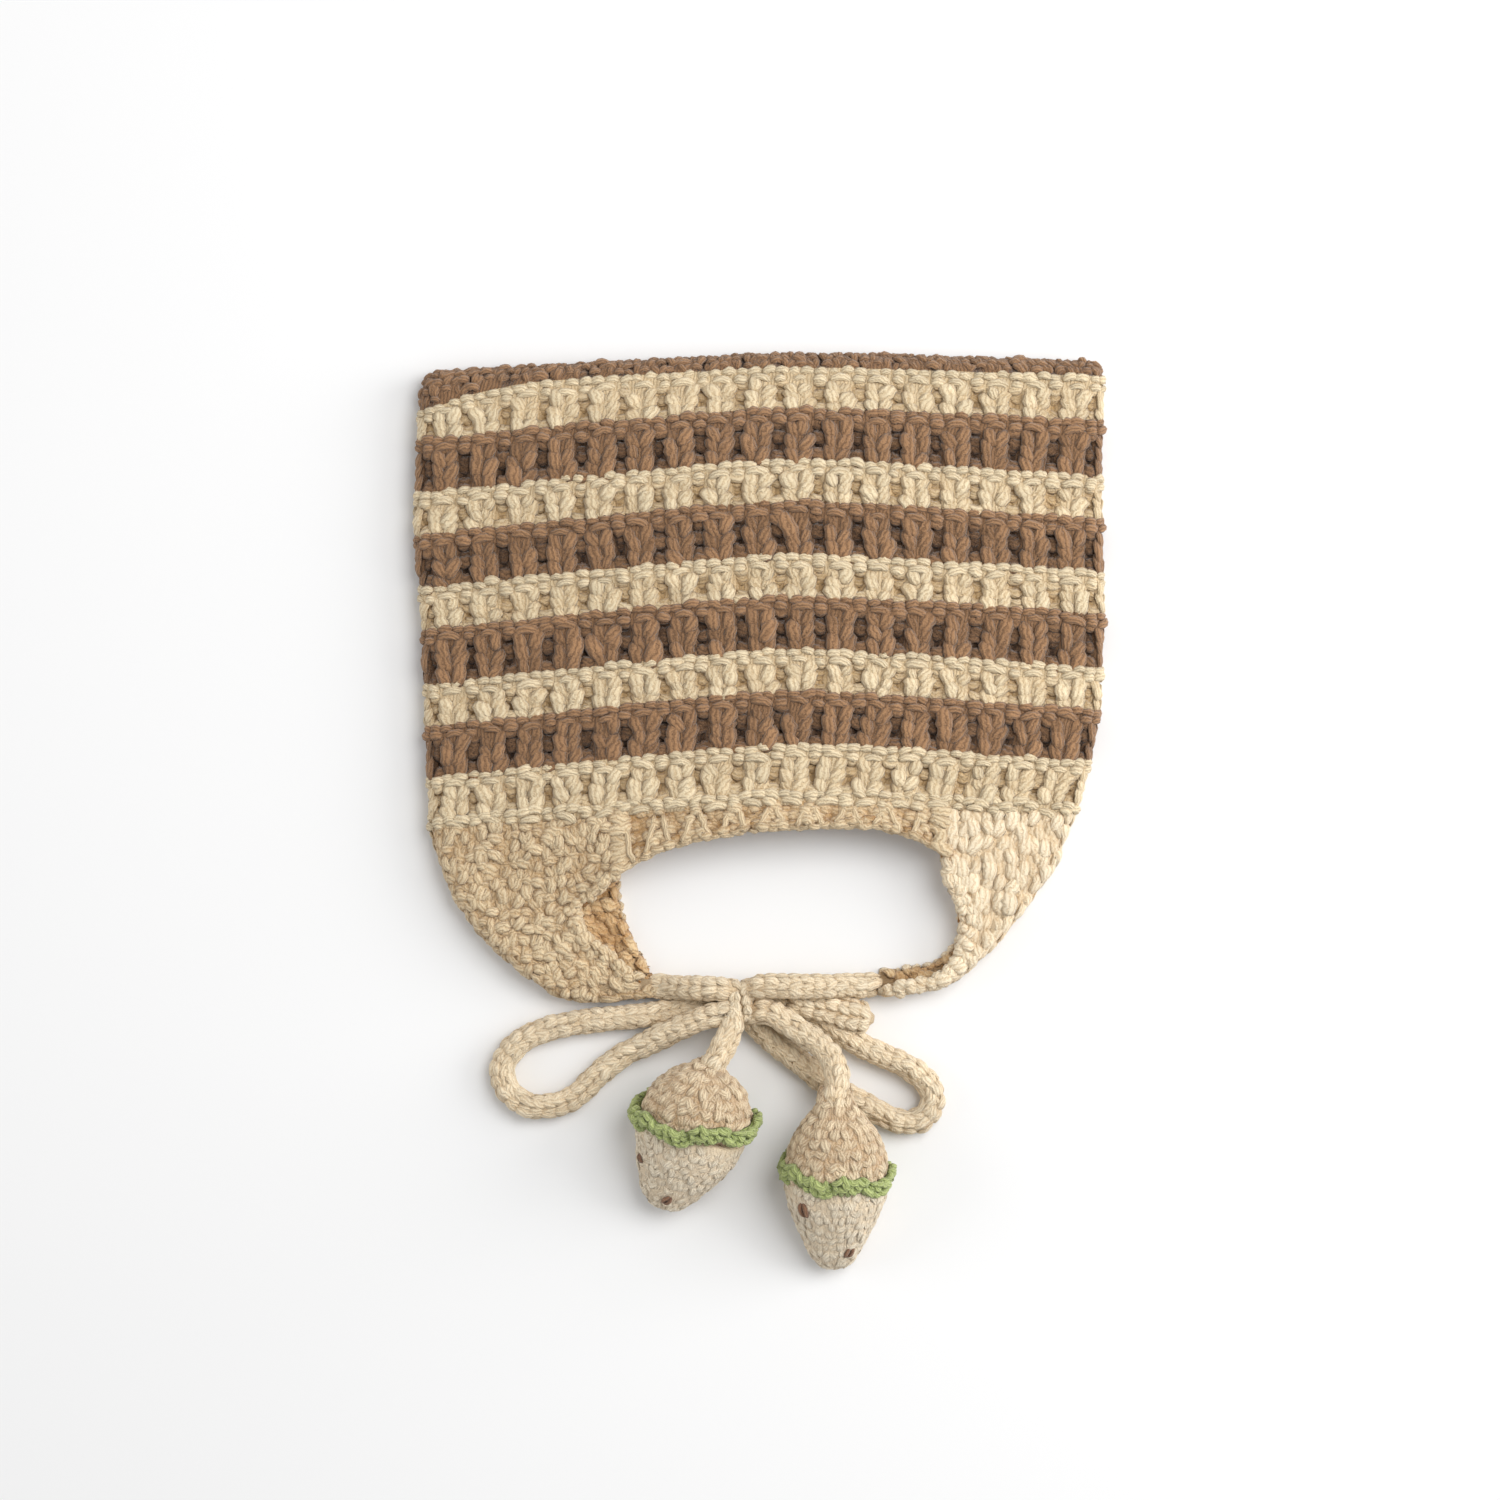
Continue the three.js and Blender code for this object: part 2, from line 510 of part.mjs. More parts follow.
function buildBerry(side, place) {
  const berry = new THREE.Group();
  berry.rotation.order = 'ZYX';
  berry.rotation.x = THREE.MathUtils.degToRad(BERRY_TILT);
  berry.rotation.z = THREE.MathUtils.degToRad(place.turn);
  berry.scale.set(place.scale, place.scale, place.scale * BERRY_FLATTEN);
  model.add(berry);
  const dome = profilePoints(DOME_PROFILE);
  const body = profilePoints(BODY_PROFILE);
  dome.unshift(new THREE.Vector2(0, dome[0].y));
  body.push(new THREE.Vector2(0, body[body.length - 1].y));
  addPiece(berry, `${side}_berry_dome`, new THREE.LatheGeometry(dome, BERRY_SEGMENTS), COLOURS.berry);
  addPiece(berry, `${side}_berry_body`, new THREE.LatheGeometry(body, BERRY_SEGMENTS), COLOURS.berry);
  addPiece(berry, `${side}_berry_rim`, rimGeometry(place.rimFlare), COLOURS.green);
  berry.position.set(place.x, place.y, 0);
  berry.updateMatrixWorld(true);
  berry.position.z = -new THREE.Box3().setFromObject(berry, true).min.z;
}

buildCrown();
buildBrim('front_brim', frontBrimSection, 3);
buildBrim('back_brim', backBrimSection, 2);
buildFlap('left_ear_flap', LEFT_FLAP);
buildFlap('right_ear_flap', RIGHT_FLAP);
buildCord('left_tie', LEFT_TIE);
buildCord('right_tie', RIGHT_TIE);
buildCord('left_bow_loop', LEFT_LOOP);
buildCord('right_bow_loop', RIGHT_LOOP);
buildCord('left_tie_end', LEFT_END);
buildCord('right_tie_end', RIGHT_END);
buildKnot();
buildBerry('left', LEFT_BERRY);
buildBerry('right', RIGHT_BERRY);

export default model;
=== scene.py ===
"""Looks of a knitted cat ear beanie that lies on its back with its ties knotted in a bow."""

import json
import logging
import math
from dataclasses import dataclass, field, fields, replace
from enum import Enum

import bmesh
import bpy
import numpy as np
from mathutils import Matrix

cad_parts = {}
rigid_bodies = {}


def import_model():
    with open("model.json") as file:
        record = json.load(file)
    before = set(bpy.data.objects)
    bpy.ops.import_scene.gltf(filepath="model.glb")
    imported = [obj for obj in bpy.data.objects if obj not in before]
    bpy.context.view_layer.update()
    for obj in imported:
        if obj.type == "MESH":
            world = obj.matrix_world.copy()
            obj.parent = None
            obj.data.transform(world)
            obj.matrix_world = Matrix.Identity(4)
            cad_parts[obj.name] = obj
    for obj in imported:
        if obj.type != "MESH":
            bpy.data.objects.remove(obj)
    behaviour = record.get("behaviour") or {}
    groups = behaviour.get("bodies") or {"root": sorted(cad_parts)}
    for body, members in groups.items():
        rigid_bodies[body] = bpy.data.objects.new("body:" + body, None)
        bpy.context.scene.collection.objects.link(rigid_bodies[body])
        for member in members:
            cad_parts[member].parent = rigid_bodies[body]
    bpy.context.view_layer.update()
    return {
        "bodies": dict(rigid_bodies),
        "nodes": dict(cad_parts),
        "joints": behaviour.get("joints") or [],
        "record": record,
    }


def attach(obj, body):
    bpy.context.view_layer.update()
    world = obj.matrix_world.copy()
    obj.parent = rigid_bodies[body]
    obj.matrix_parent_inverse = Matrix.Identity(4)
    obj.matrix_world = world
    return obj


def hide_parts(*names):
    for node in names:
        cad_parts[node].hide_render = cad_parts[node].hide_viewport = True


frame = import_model()

Array = np.ndarray
Rng = np.random.Generator
Socket = bpy.types.NodeSocket
Piece = bpy.types.Object
Values = float | Array
Signal = float | tuple[float, ...] | Socket
Table = tuple[tuple[float, ...], ...]
Spot = tuple[float, float, float]

LOG = logging.getLogger("beanie")
MM = 0.001
ROOT = "root"

# Sizes in millimetres, as the plain model has them
WALL = 4.8
FOLD_HALF = 5.5
SEAT_GAP = 0.35
MOUTH_Y = -39.1
RIDGE_PEAK_X = 12.6
ARCH_ROUNDING = 0.15
BAND_HEIGHT = 18.6
BROWN_HEIGHT = 16.5
CREAM_HEIGHT = 12.9
STRIPE_PAIRS = 4
CROWN_HEIGHT = 141.0
MOUTH_CREST = 20.0
BODY_CREST = 22.5
CREST_RISE = 50.0
CREST_FADE = 38.0
RIBS = 36
FLAP_FLAT_Y = -89.5
FLAP_RISE_LENGTH = 30.0
FLAP_WALL_SHARE = 0.86
FLAP_FOLD_SHARE = 0.45
BRIM_LEFT_X = -43.4
BRIM_RIGHT_X = 56.0
BRIM_ROLL = 0.9
BACK_BRIM_SHORTER = 1.6

# The crown's edges at distances up from the mouth, and how far its rows drop towards each edge
CROWN_OUTLINE = {
    "up": (0.0, 19.0, 35.0, 65.0, 95.0, 123.0, CROWN_HEIGHT),
    "left": (-103.3, -104.0, -104.6, -105.8, -108.2, -107.1, -106.2),
    "right": (98.6, 103.8, 106.4, 107.7, 107.1, 107.1, 107.9),
    "left_drop": (8.2, 10.6, 11.2, 10.3, 10.2, 9.6, 5.8),
    "right_drop": (3.8, 5.3, 6.0, 5.0, 5.0, 3.8, 2.4),
}

# How much deeper the top brown rows reach at places across the hat
TOP_SAG = {
    "x": (-106.0, -102.0, -90.0, -77.0, -67.0),
    "depth": (5.8, 5.4, 2.4, 0.6, 0.0),
}

# Columns: place across, place of the front brim's lower edge
BRIM_EDGE = (
    (-43.4, -59.9), (-36.1, -56.3), (-31.4, -53.7), (-22.0, -50.9), (-12.6, -49.1),
    (-3.1, -47.4), (15.7, -46.3), (34.5, -45.9), (48.7, -50.1), (56.0, -53.9),
)

# Columns: x and y of the fold, of the front edge and of the back edge, and half the fold's height
LEFT_FLAP = (
    (-103.3, -47.5, -43.8, -41.5, -43.8, -41.5, 5.5), (-101.4, -53.7, -43.8, -50.6, -43.8, -50.6, 5.5),
    (-98.3, -63.2, -44.3, -60.3, -44.1, -59.7, 5.5), (-95.1, -69.8, -51.5, -67.2, -44.6, -66.5, 5.5),
    (-91.1, -75.7, -56.5, -72.0, -43.6, -71.6, 5.5), (-84.8, -83.3, -54.0, -79.2, -41.8, -77.9, 5.4),
    (-75.4, -91.4, -47.1, -85.1, -38.9, -84.3, 5.2), (-65.3, -98.6, -39.6, -91.7, -36.2, -89.5, 4.8),
    (-52.8, -101.5, -36.4, -93.1, -35.0, -91.7, 4.4), (-34.2, -100.1, -34.0, -92.9, -34.0, -92.7, 4.0),
)
RIGHT_FLAP = (
    (98.3, -43.3, 56.4, -39.7, 56.4, -39.7, 5.5), (96.1, -48.7, 56.4, -46.8, 56.4, -46.8, 5.5),
    (92.9, -57.5, 56.7, -54.7, 56.7, -54.3, 5.5), (87.9, -65.4, 58.7, -63.5, 58.9, -63.1, 5.5),
    (82.3, -73.2, 61.5, -71.0, 61.7, -70.7, 5.4), (75.4, -82.0, 62.5, -78.2, 62.7, -77.9, 5.3),
    (67.5, -89.8, 61.2, -84.9, 60.6, -84.1, 5.0), (59.0, -96.0, 56.4, -91.5, 53.6, -89.3, 4.7),
    (47.7, -98.6, 46.8, -94.7, 45.4, -90.9, 4.3), (37.1, -99.8, 36.8, -95.9, 36.2, -92.1, 4.0),
)

# The routes of the two ties, as x, y and height of their middle lines
LEFT_TIE = ((-33.2, -96.4, 4.0), (-30.8, -96.4, 4.4), (-25.1, -96.4, 8.6), (-18.8, -96.6, 11.8),
            (-14.6, -96.7, 12.5), (-12.3, -96.7, 12.6))
RIGHT_TIE = ((35.9, -95.9, 4.0), (33.0, -95.9, 4.3), (25.1, -96.0, 7.6), (17.3, -96.0, 10.8),
             (9.4, -95.9, 12.6), (2.6, -95.8, 12.9), (0.5, -95.8, 12.9))
LEFT_LOOP = (
    (-12.3, -100.9, 3.8), (-15.0, -101.1, 3.8), (-22.4, -102.5, 3.8), (-31.1, -104.5, 3.8),
    (-39.4, -105.7, 3.8), (-50.2, -106.7, 3.8), (-60.0, -108.1, 3.8), (-69.4, -110.7, 3.8),
    (-77.2, -115.3, 3.8), (-81.0, -122.2, 3.8), (-78.8, -129.1, 3.8), (-73.2, -133.2, 3.8),
    (-65.6, -133.8, 3.8), (-58.4, -131.3, 3.8), (-52.1, -125.3, 3.8), (-44.3, -118.9, 4.2),
    (-34.5, -113.5, 6.4), (-26.4, -109.7, 9.6), (-19.6, -106.5, 11.4), (-14.8, -105.0, 11.9),
    (-12.3, -104.7, 11.9),
)
RIGHT_LOOP = (
    (0.5, -99.8, 3.8), (3.0, -100.0, 3.8), (9.4, -101.5, 3.8), (17.3, -105.1, 3.8),
    (25.4, -110.6, 3.8), (33.0, -115.3, 3.8), (38.9, -118.1, 3.8), (45.5, -121.1, 3.8),
    (51.2, -125.3, 3.8), (54.3, -130.7, 3.8), (52.6, -136.3, 3.8), (47.4, -138.9, 3.8),
    (41.0, -137.7, 3.8), (33.9, -133.9, 3.8), (27.0, -130.1, 3.8), (20.1, -126.1, 3.8),
    (13.8, -121.1, 3.8), (7.5, -115.9, 3.8), (2.4, -111.9, 3.8), (-0.4, -109.1, 3.8),
)
LEFT_PASS = ((-8.2, -97.6, 10.5), (-8.0, -99.8, 6.0))
RIGHT_PASS = ((-3.4, -97.0, 10.5), (-3.6, -98.6, 6.0))
LEFT_TAIL = ((-9.0, -103.6, 12.6), (-8.4, -106.0, 13.2), (-9.2, -110.0, 14.0), (-11.4, -114.6, 16.2),
             (-14.0, -119.0, 19.0), (-16.6, -124.0, 20.0))
RIGHT_TAIL = (
    (-3.0, -105.2, 8.0), (0.9, -103.6, 10.9), (3.4, -104.1, 11.2), (8.4, -107.2, 11.6),
    (13.9, -110.8, 12.0), (19.6, -114.8, 13.2), (23.0, -119.4, 15.2), (23.9, -125.0, 18.0),
    (23.7, -130.0, 20.6), (23.6, -134.5, 21.8), (23.7, -140.0, 20.0),
)


class Yarn(Enum):
    """The yarns that the hat is knitted from, the sides that they show, and copies of the yarns painted
    darker or paler, as painted shade and painted light.
    """

    CREAM = "cream"
    # The cream yarn painted darker: painted shade on the left flap, and the same darker colour on the brims
    MOSS = "moss"
    PUFFED = "puffed"
    CORD = "cord"
    CROCHET = "crochet"
    BROWN = "brown"
    # The cream yarn painted darker and more orange: painted shade inside the hat and its folds
    WRONG_SIDE = "wrong_side"
    # The berries' body yarn, painted paler: painted light on the bodies, which lean away from the lamps
    FELTED = "felted"
    GREEN = "green"
    SEED = "seed"


class Slot(Enum):
    """The record's material slots."""

    STRIPED = "striped_knit"
    KNIT = "cream_knit"
    CORD = "cream_cord"
    CROCHET = "cream_crochet"
    GREEN = "green_crochet"


class Side(Enum):
    """The two sides of the photograph's view of the hat."""

    LEFT = "left"
    RIGHT = "right"


class Layer(Enum):
    """The two layers of the hat where it lies flat."""

    FRONT = "front"
    BACK = "back"


def unit(vectors: Array) -> Array:
    """Scales vectors to length one."""
    length = np.linalg.norm(vectors, axis=-1, keepdims=True)
    return vectors / np.maximum(length, 1e-9)


def arc_length(line: Array) -> Array:
    """Gives the distance along a line of points at each point."""
    return np.concatenate([[0.0], np.cumsum(np.linalg.norm(np.diff(line, axis=0), axis=1))])


def smoothstep(value: Values, low: float, high: float) -> Array:
    """Eases from 0 at low to 1 at high."""
    share = np.clip((np.asarray(value, float) - low) / (high - low), 0.0, 1.0)
    return share * share * (3.0 - 2.0 * share)


def cubic(points: Array, slopes: Array, knots: Array, gaps: Array, count: int) -> Array:
    """Spreads points evenly on a curve of cubic stretches.

    Args:
        points: The points that the curve passes through, one a row.
        slopes: Its slope at each of them.
        knots: Their distances from its start.
        gaps: The distance from each to the next.
        count: How many points to return.

    Returns:
        The points on the curve.
    """
    at = np.linspace(0.0, knots[-1], count)
    cell = np.clip(np.searchsorted(knots, at, side="right") - 1, 0, len(gaps) - 1)
    span = gaps[cell][:, None]
    t = (at - knots[cell])[:, None] / span
    start = points[cell] * (2 * t**3 - 3 * t**2 + 1) + slopes[cell] * span * (t**3 - 2 * t**2 + t)
    end = points[cell + 1] * (3 * t**2 - 2 * t**3) + slopes[cell + 1] * span * (t**3 - t**2)
    return start + end


def smooth_line(points: Array, count: int) -> Array:
    """Spreads points evenly on a smooth curve.

    Args:
        points: The points that the curve passes through, one a row.
        count: How many points to return.

    Returns:
        The points on the curve, from its first point to its last.
    """
    points = np.asarray(points, float)
    gaps = np.maximum(np.linalg.norm(np.diff(points, axis=0), axis=1), 1e-6)
    knots = np.concatenate([[0.0], np.cumsum(gaps)])
    return cubic(points, np.gradient(points, knots, axis=0), knots, gaps, count)


def spread(line: Array, count: int) -> tuple[Array, Array]:
    """Spreads points evenly along a line of straight stretches.

    Args:
        line: The line's corners, one a row.
        count: How many points to return.

    Returns:
        The points, and their distances from the line's start.
    """
    length = arc_length(line)
    at = np.linspace(0, length[-1], count)
    return np.stack([np.interp(at, length, column) for column in line.T], -1), at


def smooth_rows(table: Array, count: int) -> Array:
    """Spreads rows of a table evenly along the line that their first two columns draw.

    Args:
        table: The rows.
        count: How many rows to return.

    Returns:
        The rows, eased from one to the next without overshoot.
    """
    run = arc_length(table[:, :2])
    gaps = np.diff(run)
    secant = np.diff(table, axis=0) / gaps[:, None]
    slopes = np.concatenate([secant[:1], (secant[1:] + secant[:-1]) / 2, secant[-1:]])
    slopes[1:-1] = np.where(secant[1:] * secant[:-1] <= 0, 0, slopes[1:-1])
    return cubic(table, slopes, run, gaps, count)


FLOOR_CLEARANCE = 0.12
FLOOR_SOFTNESS = 0.3
FLOOR_FREE = 20.0


def on_floor(points: Array) -> Array:
    """Presses points softly onto the surface that the hat lies on.

    Args:
        points: Places in millimetres, height last.

    Returns:
        The same places, none of them under the surface.
    """
    lifted = points.copy()
    over = (points[..., 2] - FLOOR_CLEARANCE) / FLOOR_SOFTNESS
    eased = np.where(over > FLOOR_FREE, over, np.log1p(np.exp(np.minimum(over, FLOOR_FREE))))
    lifted[..., 2] = FLOOR_CLEARANCE + FLOOR_SOFTNESS * eased
    return lifted


def put_in(name: str, data: bpy.types.ID) -> bpy.types.Object:
    """Puts a new object in the scene.

    Args:
        name: The object's name.
        data: Its mesh, light or camera.

    Returns:
        The object.
    """
    made = bpy.data.objects.new(name, data)
    bpy.context.scene.collection.objects.link(made)
    return made


@dataclass
class PieceMesh:
    """Vertices, faces and their knitting values, gathered for one piece."""

    points: list[Array] = field(default_factory=list)
    corners: list[Array] = field(default_factory=list)
    sizes: list[Array] = field(default_factory=list)
    maps: list[Array] = field(default_factory=list)
    tones: list[Array] = field(default_factory=list)
    heights: list[Array] = field(default_factory=list)
    paints: list[Array] = field(default_factory=list)
    count: int = 0
    # Heights at which a point takes all painted shade (low) and all of the yarn's lit colour (high)
    low: float = -3.0
    high: float = 0.6

    def add(self, points: Array, faces: Array, maps: Array, tones: Array, heights: Array) -> None:
        """Adds one batch of faces that all have the same number of corners.

        Args:
            points: Places in millimetres, one a row.
            faces: Corner numbers, one face a row.
            maps: Yarn coordinates of each face's corners.
            tones: How light each point's stitch is, around 0.
            heights: Height of each point over the knit's middle surface, in millimetres; lower points take
                more painted shade.
        """
        self.add_faces(faces, self.count, maps)
        self.points.append(points)
        self.tones.append(tones)
        self.heights.append(heights)
        self.count += len(points)

    def add_faces(self, faces: Array, first: int, maps: Array | None = None) -> None:
        """Adds faces over points of one batch, in the first of the piece's paints.

        Args:
            faces: Corner numbers within the batch, one face a row.
            first: The number of the batch's first point.
            maps: Yarn coordinates of each face's corners, or None for faces without a twist.
        """
        self.corners.append((faces + first).ravel())
        self.sizes.append(np.full(len(faces), faces.shape[1]))
        self.paints.append(np.zeros(len(faces), int))
        self.maps.append(np.zeros((faces.size, 2)) if maps is None else maps.reshape(-1, 2))

    def build(self, name: str, materials: list[bpy.types.Material]) -> Piece:
        """Makes the Blender object.

        Args:
            name: The piece's name.
            materials: What it is made of, in the order of its paint numbers.

        Returns:
            The object, in metres, at the origin.
        """
        points = on_floor(np.concatenate(self.points)) * MM
        corners = np.concatenate(self.corners)
        sizes = np.concatenate(self.sizes)
        mesh = bpy.data.meshes.new(name)
        mesh.vertices.add(len(points))
        mesh.vertices.foreach_set("co", points.astype(np.float32).ravel())
        mesh.loops.add(len(corners))
        mesh.loops.foreach_set("vertex_index", corners.astype(np.int32))
        mesh.polygons.add(len(sizes))
        starts = np.concatenate([[0], np.cumsum(sizes)[:-1]])
        mesh.polygons.foreach_set("loop_start", starts.astype(np.int32))
        mesh.update(calc_edges=True)
        mesh.shade_smooth()
        layer = mesh.uv_layers.new(name="yarn")
        layer.data.foreach_set("uv", np.concatenate(self.maps).astype(np.float32).ravel())
        # How much of its lit colour each point keeps; the rest is painted shade, most where it lies low
        unshaded_share = np.clip((np.concatenate(self.heights) - self.low) / (self.high - self.low), 0, 1)
        for label, values in (("tone", np.concatenate(self.tones)), ("unshaded_share", unshaded_share)):
            attribute = mesh.attributes.new(label, "FLOAT", "POINT")
            attribute.data.foreach_set("value", values.astype(np.float32))
        for material in materials:
            mesh.materials.append(material)
        mesh.polygons.foreach_set("material_index", np.concatenate(self.paints).astype(np.int32))
        return put_in(name, mesh)


FIND_STEPS = 6
FIND_PACE = 0.7
FIND_REACH = 0.6
LEAST_STRETCH = 0.05


@dataclass
class KnitSurface:
    """A surface charted by a coordinate across the stitches and one along them.

    points holds the place of each row and column of the chart, across and along their evenly
    spaced coordinates, wraps says that the last column is the first one again, and flat holds
    the same rows and columns on the sheet before it is folded.
    """

    points: Array
    across: Array
    along: Array
    wraps: bool = False
    flat: Array | None = None

    def __post_init__(self) -> None:
        """Works out the normals and how many millimetres one unit of the chart is."""
        self.step_across = self.across[1] - self.across[0]
        self.step_along = self.along[1] - self.along[0]
        if self.wraps:
            ring = np.concatenate([self.points[:, -2:-1], self.points, self.points[:, 1:2]], axis=1)
            side = (ring[:, 2:] - ring[:, :-2]) / (2 * self.step_across)
        else:
            side = np.gradient(self.points, self.step_across, axis=1)
        ahead = np.gradient(self.points, self.step_along, axis=0)
        self.normals = unit(np.cross(side, ahead))
        self.scale_across = np.maximum(np.linalg.norm(side, axis=-1), 1e-3)[..., None]
        self.scale_along = np.maximum(np.linalg.norm(ahead, axis=-1), 1e-3)[..., None]
        if self.flat is not None:
            flat_side = np.gradient(self.flat, self.step_across, axis=1)
            flat_ahead = np.gradient(self.flat, self.step_along, axis=0)
            self.turns = np.concatenate([flat_side, flat_ahead], axis=-1)

    def face(self, row: int, column: int, way: Array) -> None:
        """Turns the normals over if the one at a row and column of the chart points against a way."""
        if np.dot(self.normals[row, column], way) < 0:
            self.normals *= -1

    def skin(self, across: Array, height: float) -> Array:
        """Gives places at one height over the surface, a row of them for each row of the chart."""
        rows = [self.place(across, np.full(len(across), along), height)[0] for along in self.along]
        return np.stack(rows)

    def offset(self, across: Array, along: Array, x: Array, y: Array) -> tuple[Array, Array]:
        """Turns steps in millimetres from spots of the chart into chart coordinates.

        Args:
            across: The spots' coordinates across.
            along: The spots' coordinates along.
            x: Steps across the stitches, spots by steps.
            y: Steps along them.

        Returns:
            The coordinates, across and along.
        """
        if self.flat is None:
            scale_u = self.sample(self.scale_across, across, along)
            scale_v = self.sample(self.scale_along, across, along)
            return across[:, None] + x / scale_u, along[:, None] + y / scale_v
        a, c, b, d = np.moveaxis(self.sample(self.turns, across, along), -1, 0)[..., None]
        det = a * d - b * c
        det = np.where(np.abs(det) < LEAST_STRETCH, LEAST_STRETCH, det)
        return across[:, None] + (d * x - b * y) / det, along[:, None] + (a * y - c * x) / det

    def find(self, x: Array, y: Array) -> tuple[Array, Array, Array]:
        """Finds the chart coordinates of places on the flat sheet.

        Args:
            x: Places across the flat sheet, in millimetres.
            y: Places along it.

        Returns:
            The coordinates across and along, and which of the places are on the sheet.
        """
        wanted = np.stack([x, y], -1)
        grid = self.flat.reshape(-1, 2)
        nearest = np.array([int(np.argmin(((grid - place) ** 2).sum(-1))) for place in wanted])
        columns = self.flat.shape[1]
        u = self.across[nearest % columns].astype(float)
        v = self.along[nearest // columns].astype(float)
        for _ in range(FIND_STEPS):
            miss = wanted - self.sample(self.flat, u, v)
            step_u, step_v = self.offset(u, v, miss[:, :1], miss[:, 1:])
            u = np.clip(u + FIND_PACE * (step_u[:, 0] - u), self.across[0], self.across[-1])
            v = np.clip(v + FIND_PACE * (step_v[:, 0] - v), self.along[0], self.along[-1])
        miss = np.linalg.norm(wanted - self.sample(self.flat, u, v), axis=-1)
        return u, v, miss < FIND_REACH

    def sample(self, grid: Array, across: Array, along: Array) -> Array:
        """Reads a grid of the chart between its rows and columns.

        Args:
            grid: Rows by columns by values.
            across: Coordinates across the stitches.
            along: Coordinates along them.

        Returns:
            The values at those coordinates.
        """
        rows, columns = grid.shape[:2]
        u = (across - self.across[0]) / self.step_across
        if self.wraps:
            u = np.mod(u, columns - 1)
        v = (along - self.along[0]) / self.step_along
        j = np.clip(np.floor(u).astype(int), 0, columns - 2)
        i = np.clip(np.floor(v).astype(int), 0, rows - 2)
        fu = (u - j)[..., None]
        fv = (v - i)[..., None]
        low = grid[i, j] * (1 - fu) + grid[i, j + 1] * fu
        high = grid[i + 1, j] * (1 - fu) + grid[i + 1, j + 1] * fu
        return low * (1 - fv) + high * fv

    def place(self, across: Array, along: Array, height: Values) -> tuple[Array, Array]:
        """Gives the places at heights over spots of the chart, and the surface's normals there."""
        normals = unit(self.sample(self.normals, across, along))
        return self.sample(self.points, across, along) + normals * np.asarray(height)[..., None], normals


UNEVEN = np.random.default_rng(7)
OVAL_UNEVEN = 0.1
TAPER = np.array([0.55, 0.9, 1.0, 1.0, 1.0, 0.9, 0.55])
FACING_DOWN = -0.6
HIDDEN_DETAIL = 5


@dataclass(frozen=True)
class Strand:
    """One strand of yarn of a stitch, in millimetres.

    line is its middle line as across, along and height, and oval its half width and half height.
    """

    line: tuple[Spot, ...]
    oval: tuple[float, float]
    steps: int = 7
    sides: int = 7

    def lay(self, mesh: PieceMesh, surface: KnitSurface, spots: "Spots") -> None:
        """Lays a copy of the strand at each spot of a surface, a simpler one where it faces down.

        Args:
            mesh: The piece that takes the strands.
            surface: What they lie on.
            spots: Where they lie, and how each one differs.
        """
        down = surface.place(spots.across, spots.along, 0.0)[1][:, 2] < FACING_DOWN
        if down.any():
            coarse = replace(self, steps=min(self.steps, HIDDEN_DETAIL), sides=min(self.sides, HIDDEN_DETAIL))
            coarse.lay_all(mesh, surface, spots.only(down))
        if not down.all():
            self.lay_all(mesh, surface, spots.only(~down))

    def lay_all(self, mesh: PieceMesh, surface: KnitSurface, spots: "Spots") -> None:
        """Lays a copy of the strand at each spot of a surface.

        Args:
            mesh: The piece that takes the strands.
            surface: What they lie on.
            spots: Where they lie, and how each one differs.
        """
        line = smooth_line(np.array(self.line), self.steps)
        size = spots.size[:, None]
        x = line[None, :, 0] * spots.mirror[:, None] * size
        y = line[None, :, 1] * size
        cosine = np.cos(spots.turn)[:, None]
        sine = np.sin(spots.turn)[:, None]
        turned = (x * cosine - y * sine + spots.nudge[:, :1],
                  x * sine + y * cosine + spots.nudge[:, 1:])
        u, v = surface.offset(spots.across, spots.along, *turned)
        height = line[None, :, 2] + spots.lift[:, None]
        places, normals = surface.place(u, v, height)
        taper = np.interp(np.linspace(0, 1, self.steps), np.linspace(0, 1, len(TAPER)), TAPER)
        halves = tuple(taper[None] * half * size for half in self.oval)
        sweep(mesh, places, normals, halves, self.sides, spots.tone, height)


TURN_SPREAD = 0.07
SIZE_SPREAD = 0.05
LIFT_SPREAD = 0.12
TONE_SPREAD = 0.5
NUDGE_SPREAD = 0.16


@dataclass
class Spots:
    """Where copies of a strand lie, and the small differences from one to the next."""

    across: Array
    along: Array
    mirror: Array
    turn: Array
    size: Array
    lift: Array
    tone: Array
    nudge: Array

    def only(self, chosen: Array) -> "Spots":
        """Gives the spots that a mask chooses."""
        return Spots(**{item.name: getattr(self, item.name)[chosen] for item in fields(self)})

    @classmethod
    def scattered(cls, rng: Rng, across: Values, along: Values, mirror: float = 1.0,
                  turn: Values = 0.0, lift: Values = 0.0, loose: float = 1.0) -> "Spots":
        """Makes spots that each differ a little, as hand-knitted stitches do.

        Args:
            rng: The source of the differences.
            across: Coordinates across the stitches.
            along: Coordinates along them.
            mirror: 1 for strands that lean to the right, -1 to the left.
            turn: How far each is turned, in radians.
            lift: How much higher each lies, in millimetres.
            loose: How uneven the knitting is.

        Returns:
            The spots.
        """
        across, along = np.broadcast_arrays(np.asarray(across, float), np.asarray(along, float))
        across = across.ravel()
        along = along.ravel()
        n = len(across)
        return cls(
            across=across,
            along=along,
            mirror=np.broadcast_to(mirror, n).astype(float),
            turn=np.broadcast_to(turn, n) + rng.normal(0, TURN_SPREAD * loose, n),
            size=1.0 + rng.normal(0, SIZE_SPREAD * loose, n),
            lift=np.broadcast_to(lift, n) + rng.normal(0, LIFT_SPREAD * loose, n),
            tone=np.clip(rng.normal(0, TONE_SPREAD, n), -1, 1),
            nudge=rng.normal(0, NUDGE_SPREAD * loose, (n, 2)),
        )


